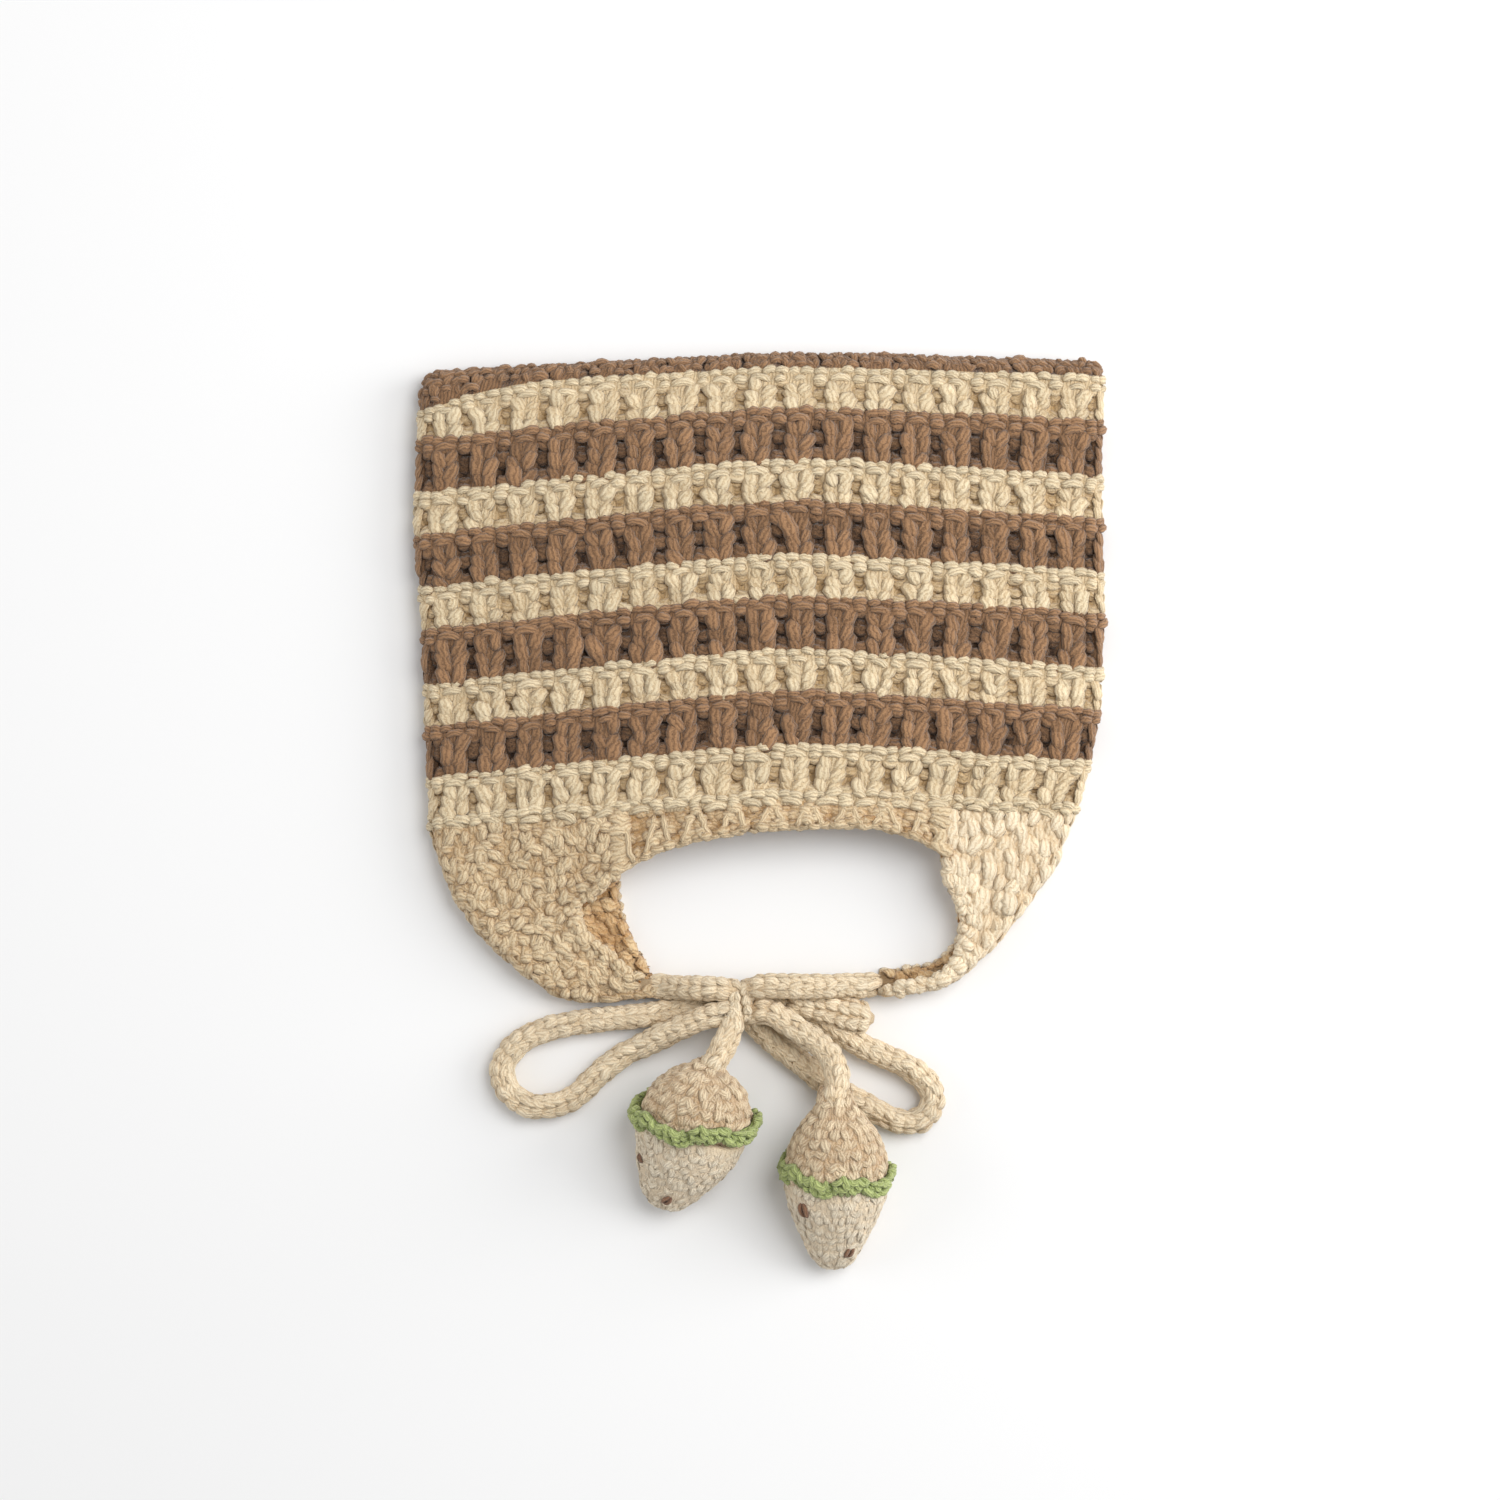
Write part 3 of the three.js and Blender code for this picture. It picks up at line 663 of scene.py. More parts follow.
def sweep(mesh: PieceMesh, places: Array, normals: Array, halves: tuple[Array, Array], sides: int,
          tones: Array, heights: Array) -> None:
    """Sweeps an oval along many middle lines at once and closes both ends.

    Args:
        mesh: The piece that takes the strands.
        places: Strands by steps by place.
        normals: Which way is up at each place.
        halves: Half widths and half heights of the oval, strands by steps.
        sides: Corners of the oval.
        tones: How light each strand is.
        heights: Height of each place over the knit's middle surface.
    """
    n, k, _ = places.shape
    ahead = unit(np.gradient(places, axis=1))
    side = unit(np.cross(ahead, normals))
    lift = np.cross(side, ahead)
    angle = np.arange(sides) / sides * 2 * math.pi
    widths, depths = halves
    cosine = (widths[..., None] * np.cos(angle))[..., None]
    sine = (depths[..., None] * np.sin(angle))[..., None]
    uneven = 1.0 + UNEVEN.normal(0, OVAL_UNEVEN, (n, k, sides, 1))
    ring = places[:, :, None] + (cosine * side[:, :, None] + sine * lift[:, :, None]) * uneven
    gaps = np.diff(places, axis=1, prepend=places[:, :1])
    length = np.cumsum(np.linalg.norm(gaps, axis=-1), axis=1)
    index = np.arange(n * k * sides).reshape(n, k, sides)
    beside = np.roll(index, -1, axis=2)
    quads = np.stack([index[:, :-1], index[:, 1:], beside[:, 1:], beside[:, :-1]], axis=-1)
    start, end, around = np.broadcast_arrays(
        length[:, :-1, None], length[:, 1:, None], np.arange(sides) / sides)
    beyond = around + 1.0 / sides
    maps = np.stack(
        [np.stack([start, around], -1), np.stack([end, around], -1),
         np.stack([end, beyond], -1), np.stack([start, beyond], -1)], axis=-2)
    tone = np.repeat(tones, k * sides)
    # The strands' undersides sit lower and so take more painted shade
    height = (heights[..., None] + depths[..., None] * np.sin(angle)).ravel()
    first = mesh.count
    mesh.add(ring.reshape(-1, 3), quads.reshape(-1, 4), maps, tone, height)
    mesh.add_faces(index[:, 0], first)
    mesh.add_faces(index[:, -1, ::-1], first)


SKIN_TURN = 8.0


def loft(mesh: PieceMesh, rows: Array, height: Values, capped: bool = True) -> None:
    """Skins rows of points, each row a closed line.

    Args:
        mesh: The piece that takes the skin.
        rows: Rows by columns by place.
        height: Height of each point over the knit's middle surface, or one for all.
        capped: Whether the first and last rows are filled in.
    """
    r, c, _ = rows.shape
    index = np.arange(r * c).reshape(r, c)
    index = np.concatenate([index, index[:, :1]], axis=1)
    faces = np.stack([index[:-1, :-1], index[:-1, 1:], index[1:, 1:], index[1:, :-1]], axis=-1)
    full = np.concatenate([rows, rows[:, :1]], axis=1)
    down = np.linalg.norm(np.diff(full, axis=0, prepend=full[:1]), axis=-1)
    aside = np.linalg.norm(np.diff(full, axis=1, prepend=full[:, :1]), axis=-1)
    run = np.cumsum(down.mean(axis=1))
    around = np.cumsum(aside.mean(axis=0))
    grain = np.stack(np.broadcast_arrays(run[:, None], around[None] / SKIN_TURN), axis=-1)
    maps = np.stack([grain[:-1, :-1], grain[:-1, 1:], grain[1:, 1:], grain[1:, :-1]], axis=2)
    heights = np.broadcast_to(height, (r, c)).astype(float)
    first = mesh.count
    mesh.add(rows.reshape(-1, 3), faces.reshape(-1, 4), maps, np.zeros(r * c), heights.ravel())
    if capped:
        mesh.add_faces(index[:1, :c][:, ::-1], first)
        mesh.add_faces(index[-1:, :c], first)


WELD = 0.02


def tidy(piece: Piece) -> None:
    """Welds a skin's meeting points and turns its faces outwards.

    Args:
        piece: The piece whose mesh is put in order.
    """
    work = bmesh.new()
    work.from_mesh(piece.data)
    bmesh.ops.remove_doubles(work, verts=work.verts, dist=WELD * MM)
    bmesh.ops.recalc_face_normals(work, faces=work.faces)
    work.to_mesh(piece.data)
    work.free()


class NodeSheet:
    """A short way to add shader nodes to a tree."""

    def __init__(self, tree: bpy.types.NodeTree) -> None:
        """Keeps the tree that nodes are added to."""
        self.tree = tree

    def node(self, kind: str, inputs: dict[int | str, Signal] | None = None,
             **settings: object) -> bpy.types.Node:
        """Adds one node.

        Args:
            kind: Blender's name of the node type.
            inputs: Values or sockets for its inputs, by name or number.
            settings: Its other settings.

        Returns:
            The node.
        """
        made = self.tree.nodes.new(kind)
        for key, value in settings.items():
            setattr(made, key, value)
        for key, value in (inputs or {}).items():
            if isinstance(value, Socket):
                self.tree.links.new(value, made.inputs[key])
            else:
                made.inputs[key].default_value = value
        return made

    def math(self, operation: str, a: Signal, b: Signal = 0.0, c: Signal = 0.0,
             clamp: bool = False) -> Socket:
        """Adds a Math node and returns its result."""
        inputs = {0: a, 1: b, 2: c}
        return self.node("ShaderNodeMath", inputs, operation=operation, use_clamp=clamp).outputs[0]

    def mix(self, factor: Signal, a: Signal, b: Signal) -> Socket:
        """Adds a colour Mix node and returns its result."""
        made = self.node("ShaderNodeMix", {0: factor, 6: a, 7: b}, data_type="RGBA", blend_type="MIX")
        return made.outputs[2]

    def noise(self, where: Socket, scale: float, detail: float = 2.0) -> Socket:
        """Adds a Noise Texture node and returns its value."""
        return self.node("ShaderNodeTexNoise", {"Vector": where, "Scale": scale, "Detail": detail}).outputs[0]


FIBRE_SCALE = 2200.0
MOTTLE_SCALE = 160.0
HAIR_SCALE = 2.4
DRIFT_SCALE = 620.0
HAIR_LENGTH = (0.55, 0.9)
PLY_DRIFT = 9.0
PLY_WOBBLE = 2.6
PLY_BUMP = 0.75
MOTTLE_GAIN = (0.24, 0.88)


def yarn_group() -> bpy.types.NodeTree:
    """Builds the node group that twists plies along each strand and paints shade into its hollows and the
    creases between its plies.

    Returns:
        The group: a lit colour, a painted shade colour and the yarn's values in, a colour and a height out.
    """
    tree = bpy.data.node_groups.new("twisted_yarn", "ShaderNodeTree")
    face = tree.interface
    for name, kind, value in (
        ("Light", "NodeSocketColor", (1, 1, 1, 1)), ("Deep", "NodeSocketColor", (0, 0, 0, 1)),
        ("Ply Shade", "NodeSocketFloat", 0.45), ("Speckle", "NodeSocketFloat", 1.4),
        ("Plies", "NodeSocketFloat", 3.0), ("Pitch", "NodeSocketFloat", 4.0),
        ("Tone Spread", "NodeSocketFloat", 0.1), ("Fuzz", "NodeSocketFloat", 0.5),
    ):
        face.new_socket(name, in_out="INPUT", socket_type=kind).default_value = value
    face.new_socket("Colour", in_out="OUTPUT", socket_type="NodeSocketColor")
    face.new_socket("Height", in_out="OUTPUT", socket_type="NodeSocketFloat")
    sheet = NodeSheet(tree)
    given = tree.nodes.new("NodeGroupInput").outputs
    uv = sheet.node("ShaderNodeUVMap", uv_map="yarn").outputs[0]
    parts = sheet.node("ShaderNodeSeparateXYZ", {0: uv}).outputs
    where = sheet.node("ShaderNodeTexCoord").outputs["Object"]
    fibres = sheet.noise(where, FIBRE_SCALE, detail=3.0)
    mottle = sheet.noise(where, MOTTLE_SCALE)
    run = sheet.math("DIVIDE", parts[0], given["Pitch"])
    around = sheet.math("MULTIPLY", parts[1], given["Plies"])
    turn = sheet.math("MULTIPLY", sheet.math("ADD", run, around), 2 * math.pi)
    strokes = sheet.node("ShaderNodeCombineXYZ", {
        0: sheet.math("MULTIPLY", turn, HAIR_LENGTH[0]),
        1: sheet.math("MULTIPLY", parts[0], HAIR_LENGTH[1])})
    hairs = sheet.noise(strokes.outputs[0], HAIR_SCALE)
    lint = sheet.math("ADD", sheet.math("MULTIPLY", fibres, 0.5), sheet.math("MULTIPLY", hairs, 0.5))
    drift = sheet.noise(where, DRIFT_SCALE)
    wandering = sheet.math("MULTIPLY_ADD", drift, PLY_DRIFT, turn)
    wobble = sheet.math("MULTIPLY_ADD", fibres, PLY_WOBBLE, wandering)
    ply = sheet.math("ABSOLUTE", sheet.math("SINE", sheet.math("MULTIPLY", wobble, 0.5)))
    tone = sheet.node("ShaderNodeAttribute", attribute_name="tone").outputs["Fac"]
    unshaded_share = sheet.node("ShaderNodeAttribute", attribute_name="unshaded_share").outputs["Fac"]
    # Painted shade: places that lie low and the creases between plies are mixed towards the painted shade
    # colour
    between = sheet.math("SUBTRACT", 1.0, ply)
    lit = sheet.math("SUBTRACT", 1.0, sheet.math("MULTIPLY", between, given["Ply Shade"]))
    ply_shaded = sheet.math("MULTIPLY", unshaded_share, lit)
    speckled = sheet.math("MULTIPLY_ADD", lint, given["Speckle"],
                          sheet.math("MULTIPLY_ADD", given["Speckle"], -0.5, ply_shaded))
    base = sheet.mix(sheet.math("MAXIMUM", speckled, 0.0, clamp=True), given["Deep"], given["Light"])
    swing = sheet.math("MULTIPLY", tone, given["Tone Spread"])
    patch = sheet.math("MULTIPLY_ADD", mottle, *MOTTLE_GAIN)
    gain = sheet.math("MULTIPLY", sheet.math("ADD", swing, 1.0), patch)
    bright = sheet.node("ShaderNodeHueSaturation", {"Value": gain, "Color": base}).outputs[0]
    bump = sheet.math("MULTIPLY_ADD", lint, given["Fuzz"], sheet.math("MULTIPLY", ply, PLY_BUMP))
    out = tree.nodes.new("NodeGroupOutput").inputs
    tree.links.new(bright, out["Colour"])
    tree.links.new(bump, out["Height"])
    return tree


def linear(colour: tuple[int, int, int]) -> tuple[float, ...]:
    """Turns a screen colour, from 0 to 255, into the renderer's linear values and an alpha of 1."""
    shares = [value / 255 for value in colour]
    return (*(n / 12.92 if n <= 0.04045 else ((n + 0.055) / 1.055) ** 2.4 for n in shares), 1.0)


@dataclass(frozen=True)
class YarnFinish:
    """How one yarn looks: its lit colour, the painted shade that its hollows, the undersides of its strands
    and the creases between its plies take, and its twist.
    """

    light: tuple[int, int, int]
    # The second colour is painted shade; the next value says how much of it the creases between plies take
    deep: tuple[int, int, int]
    crease: float = 0.5
    plies: float = 7.0
    pitch: float = 10.0
    tone_spread: float = 0.08
    fuzz: float = 1.6
    speckle: float = 1.3
    bump: float = 0.9
    bump_depth: float = 0.45
    roughness: float = 0.92
    specular: float = 0.2
    sheen: float = 0.25
    sheen_roughness: float = 0.5

    def material(self, name: str, group: bpy.types.NodeTree) -> bpy.types.Material:
        """Builds the material.

        Args:
            name: Its name.
            group: The twisted yarn group.

        Returns:
            The material.
        """
        made = bpy.data.materials.new(name)
        made.use_nodes = True
        sheet = NodeSheet(made.node_tree)
        yarn = sheet.node("ShaderNodeGroup", {
            "Light": linear(self.light), "Deep": linear(self.deep), "Ply Shade": self.crease,
            "Speckle": self.speckle, "Plies": self.plies, "Pitch": self.pitch,
            "Tone Spread": self.tone_spread, "Fuzz": self.fuzz}, node_tree=group)
        shader = made.node_tree.nodes["Principled BSDF"]
        bump = sheet.node("ShaderNodeBump", {
            "Height": yarn.outputs["Height"], "Strength": self.bump, "Distance": self.bump_depth * MM})
        made.node_tree.links.new(yarn.outputs["Colour"], shader.inputs["Base Color"])
        made.node_tree.links.new(bump.outputs[0], shader.inputs["Normal"])
        for key, value in (("Roughness", self.roughness), ("Specular IOR Level", self.specular),
                           ("Sheen Weight", self.sheen), ("Sheen Roughness", self.sheen_roughness)):
            shader.inputs[key].default_value = value
        return made


# Each finish's second colour is painted shade, for the hollows, the strands' undersides and the creases
# between plies
FINISHES = {
    Yarn.CREAM: YarnFinish(light=(240, 222, 187), deep=(184, 147, 96)),
    # The cream yarn painted darker: painted shade on the left flap, which faces away from the light, and the
    # same darker colour on the brims
    Yarn.MOSS: YarnFinish(light=(234, 213, 176), deep=(172, 124, 64)),
    Yarn.PUFFED: YarnFinish(light=(252, 236, 206), deep=(212, 172, 118)),
    Yarn.CORD: YarnFinish(light=(252, 236, 206), deep=(206, 168, 116), crease=0.4),
    Yarn.CROCHET: YarnFinish(light=(246, 227, 193), deep=(170, 128, 84)),
    Yarn.BROWN: YarnFinish(light=(174, 133, 96), deep=(54, 34, 21)),
    # The cream yarn painted darker and more orange: painted shade inside the hat and its folds
    Yarn.WRONG_SIDE: YarnFinish(light=(232, 204, 160), deep=(180, 126, 64)),
    # The berries' beige body yarn, painted paler: painted light on the bodies, which lean away from the lamps
    Yarn.FELTED: YarnFinish(light=(252, 238, 212), deep=(228, 202, 166), crease=0.35),
    Yarn.GREEN: YarnFinish(light=(194, 205, 134), deep=(116, 134, 58)),
    Yarn.SEED: YarnFinish(light=(162, 120, 90), deep=(102, 68, 46)),
}


class Workshop:
    """Holds the materials, builds finished pieces and attaches them to the hat's body."""

    def __init__(self) -> None:
        """Builds each finish once."""
        group = yarn_group()
        self.materials = {yarn: finish.material(f"{yarn.value}_yarn", group)
                          for yarn, finish in FINISHES.items()}

    def finish(self, mesh: PieceMesh, name: str, yarns: Yarn | list[Yarn], slot: Slot,
               *replaced: str) -> Piece:
        """Args:
            mesh: Its gathered mesh.
            name: Its name.
            yarns: The yarn that it is knitted from, or a list of them in the order of its paints.
            slot: The record's material slot; not used.
            replaced: The plain solids that it stands for.

        Returns:
            The piece.
        """
        listed = yarns if isinstance(yarns, list) else [yarns]
        piece = mesh.build(name, [self.materials[yarn] for yarn in listed])
        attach(piece, ROOT)
        if replaced:
            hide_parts(*replaced)
        LOG.info("%s: %d faces", name, len(piece.data.polygons))
        return piece


def outline_at(up: float) -> tuple[float, float, float, float]:
    """Gives the crown's left and right edges and its drops, at a distance up from the mouth."""
    ups = CROWN_OUTLINE["up"]
    return tuple(float(np.interp(up, ups, CROWN_OUTLINE[key]))
                 for key in ("left", "right", "left_drop", "right_drop"))


def row_y(x: Array, up: float) -> Array:
    """Gives the place of a knitted row, which arches up in the middle.

    Args:
        x: Places across the hat.
        up: The row's distance up from the mouth.

    Returns:
        How far up the hat the row lies at each place.
    """
    left, right, left_drop, right_drop = outline_at(up)
    x = np.asarray(x, float)
    on_left = x < RIDGE_PEAK_X
    reach = (x - RIDGE_PEAK_X) / (np.where(on_left, left, right) - RIDGE_PEAK_X)
    full = math.hypot(1, ARCH_ROUNDING) - ARCH_ROUNDING
    fall = (np.hypot(reach, ARCH_ROUNDING) - ARCH_ROUNDING) / full
    return MOUTH_Y + up - np.where(on_left, left_drop, right_drop) * fall


def crest_at(up: float) -> float:
    """Gives the front panel's height at one row.

    Args:
        up: The row's distance up from the mouth.

    Returns:
        The height over the surface that the hat lies on.
    """
    body = MOUTH_CREST + (BODY_CREST - MOUTH_CREST) * float(smoothstep(up, 0, CREST_RISE))
    to_seam = min(max((CROWN_HEIGHT - FOLD_HALF - up) / CREST_FADE, 0.0), 1.0)
    return 2 * FOLD_HALF + (body - 2 * FOLD_HALF) * math.sin(to_seam * math.pi / 2)


def dome_share(x: Array, left: float, right: float, edge: float) -> Array:
    """Gives how far the front panel rises at places across the hat, from 0 at a fold to 1 midway."""
    reach = 1 - np.abs(np.asarray(x) - (left + right) / 2) / ((right - left) / 2 - edge)
    return np.sin(np.clip(reach, 0, 1) * math.pi / 2)


def front_rise(x: Array, y: Array) -> Array:
    """Gives how far the front layer rises over the folds, at places below the mouth."""
    rise = (MOUTH_CREST - 2 * FOLD_HALF) * dome_share(x, *outline_at(0)[:2], FOLD_HALF)
    return rise * smoothstep(y, FLAP_FLAT_Y, MOUTH_Y)


@dataclass(frozen=True)
class Stripe:
    """One stripe of the crown: where its ribs start, where it ends, and its yarn."""

    start: float
    end: float
    yarn: Yarn


# The purls in the gap between two ribs, as shares of the stripe's height and lifts
GAP_PURLS = ((0.0, 0.1), (0.15, -0.2), (0.57, -0.7), (0.7, -0.7), (1.0, 0.1))


@dataclass
class Crown:
    """The ribbed and striped body of the hat."""

    workshop: Workshop
    chain_height: float = 4.4
    chain_fade: tuple[float, float] = (0.4, 0.7)
    chain_loose: float = 1.8
    turn_start: float = CROWN_HEIGHT - FOLD_HALF
    last: float = CROWN_HEIGHT - FOLD_HALF + FOLD_HALF * math.pi / 2
    thin_edge: float = 0.25
    bend_steps: int = 24
    front_steps: int = 241
    columns_a_rib: int = 16
    row_step: float = 1.5
    chart_below: float = 3.0
    hem: float = 0.2
    hem_loose: float = 2.8
    stitch_rows: int = 3
    cream_depth: float = -2.3
    brown_depth: float = -2.7
    skin_depth: float = -0.5
    skin_shade: float = -0.1
    skin_course: float = 1.7
    skin_columns: int = 8
    top_thinning: float = 0.6
    lining_ribs: float = 0.4
    lining_reach: float = 128.0
    lining_rows: int = 40
    lining_shade: float = 0.2
    seam_up: float = 132.4
    seam_inset: float = 11.0
    purl_share: float = 0.17
    top_courses: int = 7
    top_course: float = 2.6
    top_margin: float = 0.9
    top_overlap: float = 1.2
    seed: int = 11

    def __post_init__(self) -> None:
        """Charts the surface and lists the stripes and the chains' upper edges."""
        self.surface = self.chart()
        self.stripes = [Stripe(self.chain_height, BAND_HEIGHT, Yarn.CREAM)]
        start = BAND_HEIGHT
        for _ in range(STRIPE_PAIRS):
            for yarn, height in ((Yarn.BROWN, BROWN_HEIGHT), (Yarn.CREAM, CREAM_HEIGHT)):
                self.stripes.append(Stripe(start, start + height, yarn))
                start += height
        self.top_start = start
        self.chains = [(self.chain_height, Yarn.CREAM)] + [(s.end, s.yarn) for s in self.stripes]

    def section(self, along: float) -> Array:
        """Gives the crown's outline across the hat at one row.

        Args:
            along: Distance up the knit from the mouth, and on round the seam at the top.

        Returns:
            Places, evenly spaced right round the hat from the left fold.
        """
        angle = max(0.0, (along - self.turn_start) / FOLD_HALF)
        up = along if angle == 0 else self.turn_start + FOLD_HALF * math.sin(angle)
        edge = max(self.thin_edge, FOLD_HALF * math.cos(angle))
        inset = FOLD_HALF - edge
        left, right, _, _ = outline_at(up)
        left += inset
        right -= inset
        top = inset + 2 * edge
        crest = crest_at(up) if angle == 0 else top
        bend = np.linspace(0, math.pi / 2, self.bend_steps)
        front_x = np.linspace(left + edge, right - edge, self.front_steps)
        front_z = top + (crest - top) * dome_share(front_x, left, right, edge)
        line = np.concatenate([
            np.stack([left + edge * (1 - np.cos(bend)), inset + edge * (1 + np.sin(bend))], -1),
            np.stack([front_x, front_z], -1),
            np.stack([right - edge + edge * np.sin(bend * 2), inset + edge * (1 + np.cos(bend * 2))], -1),
            np.stack([front_x[::-1], np.full_like(front_x, inset)], -1),
            np.stack([left + edge * (1 - np.sin(bend)), inset + edge * (1 - np.cos(bend))], -1),
        ])
        x, z = spread(line, RIBS * self.columns_a_rib + 1)[0].T
        return np.stack([x, row_y(x, up), z], -1)

    def chart(self) -> KnitSurface:
        """Charts the outer surface.

        Returns:
            The surface, with ribs across it and millimetres along it.
        """
        count = int((self.last + self.chart_below) / self.row_step)
        along = np.linspace(-self.chart_below, self.last, count)
        across = np.linspace(0, RIBS, RIBS * self.columns_a_rib + 1)
        return KnitSurface(np.stack([self.section(v) for v in along]), across, along, wraps=True)

    def build(self) -> None:
        """Builds the lining, the ribs, the chains and the top rows."""
        self.build_shell()
        self.build_ribs()
        self.build_chains()
        self.build_top()

    def build_shell(self) -> None:
        """Builds the felted inside of the knit, which shows between the stitches and inside. It is painted
        with shade where it lies deep, and its lining takes the darker wrong-side colour.
        """
        across = np.linspace(0, RIBS, RIBS * self.skin_columns, endpoint=False)
        gap = (0.5 - 0.5 * np.cos(across * 2 * math.pi)) ** 3
        rows = []
        heights = []
        paints = []
        for start, end, yarn in reversed(self.zones()):
            deep = self.brown_depth if yarn is Yarn.BROWN else self.cream_depth
            for along in np.linspace(end, start, max(4, int((end - start) / self.skin_course))):
                thin = 1.0 if along < self.turn_start else self.top_thinning
                level = self.settle(across, np.full_like(across, along))
                low = self.skin_depth + (deep - self.skin_depth) * gap * (1 - self.chain_share(along))
                rows.append(self.surface.place(across, level, low * thin)[0])
                # The skin in the gaps between ribs lies lower and so takes more painted shade
                heights.append(low + self.skin_shade)
                paints.append(1 if yarn is Yarn.BROWN else 0)
        ribs = self.lining_ribs * np.cos(across * 2 * math.pi)
        for along in np.linspace(-self.hem, self.lining_reach, self.lining_rows):
            rows.append(self.surface.place(across, np.full_like(across, along), -WALL + ribs)[0])
        left, right, _, _ = outline_at(self.seam_up)
        half = RIBS / 2
        share = np.where(across <= half, across / half, 2 - across / half)
        x = left + self.seam_inset + (right - left - 2 * self.seam_inset) * share
        rows.append(np.stack([x, row_y(x, self.seam_up), np.full_like(x, FOLD_HALF)], -1))
        heights += [np.full_like(across, self.lining_shade)] * (len(rows) - len(heights))
        mesh = PieceMesh()
        loft(mesh, np.stack(rows), np.stack(heights), capped=False)
        paints += [2] * (len(rows) - 1 - len(paints))
        mesh.paints[0] = np.repeat(paints, len(across))
        # The lining takes the darker, more orange wrong-side colour: painted shade inside the hat
        yarns = [Yarn.CREAM, Yarn.BROWN, Yarn.WRONG_SIDE]
        piece = self.workshop.finish(mesh, "crown_inside", yarns, Slot.STRIPED, "crown")
        tidy(piece)

    def sag(self, across: Array, along: Array) -> Array:
        """Gives how much deeper the top brown rows reach at places, as they do at the left corner."""
        x = self.surface.sample(self.surface.points, across, along)[..., 0]
        return np.interp(x, TOP_SAG["x"], TOP_SAG["depth"])

    def settle(self, across: Array, along: Array) -> Array:
        """Presses the rows of the top cream stripe together where the brown rows reach deeper.

        Args:
            across: Coordinates across the ribs.
            along: Coordinates along them.

        Returns:
            The coordinates along after the press.
        """
        stripe = self.stripes[-1]
        tall = stripe.end - stripe.start
        share = np.clip((along - stripe.start) / tall, 0, 1)
        fade = np.clip((self.last - along) / (self.last - stripe.end), 0, 1)
        return along - self.sag(across, along) * share * fade

    def settled(self, spots: Spots) -> Spots:
        """Gives spots after the press of the top cream stripe."""
        return replace(spots, along=self.settle(spots.across, spots.along))

    def chain_share(self, along: float) -> float:
        """Gives how much of a row, from 0 to 1, belongs to the ridge of a chain."""
        gap = min(abs(along - (end - self.chain_height / 2)) for end, _ in self.chains)
        return 1.0 - float(smoothstep(gap, *(self.chain_height * share for share in self.chain_fade)))

    def zones(self) -> list[tuple[float, float, Yarn]]:
        """Lists where each coloured zone starts and ends, from the mouth to the top, and its yarn."""
        first, *others = self.stripes
        return [(-self.hem, first.end, first.yarn), *((s.start, s.end, s.yarn) for s in others),
                (self.top_start, self.last, Yarn.BROWN)]

    def build_ribs(self) -> None:
        """Builds the columns of knitted stitches and the purled gaps between them."""
        rng = np.random.default_rng(self.seed)
        meshes = {yarn: PieceMesh(low=-2.3, high=0.6) for yarn in (Yarn.CREAM, Yarn.BROWN)}
        ribs = np.arange(RIBS, dtype=float)
        for stripe in self.stripes:
            mesh = meshes[stripe.yarn]
            tall = stripe.end - self.chain_height - stripe.start
            pitch = tall / self.stitch_rows
            leg = Strand((
                (0.8, -0.85 * pitch, -1.2), (1.5, -0.5 * pitch, -0.65), (2.25, 0.0, -0.4),
                (2.8, 0.42 * pitch, -0.6), (2.7, 0.8 * pitch, -1.2)), oval=(2.1, 0.75), steps=6, sides=6)
            for row in range(self.stitch_rows):
                centre = stripe.start + (row + 0.52) * pitch
                for mirror in (-1.0, 1.0):
                    spots = Spots.scattered(rng, ribs, centre, mirror, loose=2.2)
                    leg.lay(mesh, self.surface, self.settled(spots))
            purl = Strand(((-2.4, 0.4, -1.7), (0, -0.3, -1.3), (2.4, 0.4, -1.7)),
                          oval=(tall * self.purl_share, 0.85))
            for share, lift in GAP_PURLS:
                spots = Spots.scattered(rng, ribs + 0.5, stripe.start + share * tall, lift=lift, loose=2.0)
                purl.lay(mesh, self.surface, self.settled(spots))
        for yarn, mesh in meshes.items():
            self.workshop.finish(mesh, f"{yarn.value}_ribs", yarn, Slot.STRIPED)

    def build_chains(self) -> None:
        """Builds the ridge of purl loops along the top of each stripe and round the mouth."""
        rng = np.random.default_rng(self.seed + 1)
        meshes = {yarn: PieceMesh(low=-2.6, high=0.2) for yarn in (Yarn.CREAM, Yarn.BROWN)}
        ribs = np.arange(RIBS, dtype=float)
        loop = Strand(((-2.2, -0.4, -1.0), (0, 0.15, -0.15), (2.2, -0.25, -1.0)), oval=(1.3, 0.95))
        arc = Strand(((-3.3, -0.75, -1.2), (-1.6, 0.0, -0.3), (0, 0.25, -0.05), (1.6, 0.0, -0.3),
                      (3.3, -0.75, -1.2)), oval=(1.3, 0.95))
        knob = Strand(((-1.9, -0.15, -1.1), (0, 0.1, -0.15), (1.9, -0.15, -1.1)), oval=(1.4, 1.0))
        # Each row's strand, its shift aside in ribs, its drop under the edge and its rise
        rows = (
            (loop, -0.5 / 3, 1.1, 0.0), (loop, 0.5 / 3, 1.1, 0.3), (loop, 1.5 / 3, 1.1, 0.0),
            (arc, 0.0, 3.1, 0.0), (knob, 0.5, 3.3, 0.0),
        )
        for end, yarn in self.chains:
            loose = self.hem_loose if end == self.chain_height else self.chain_loose
            for strand, aside, drop, rise in rows:
                spots = Spots.scattered(rng, ribs + aside, end - drop + rise, loose=loose)
                strand.lay(meshes[yarn], self.surface, self.settled(spots))
        for yarn, mesh in meshes.items():
            self.workshop.finish(mesh, f"{yarn.value}_chains", yarn, Slot.STRIPED)

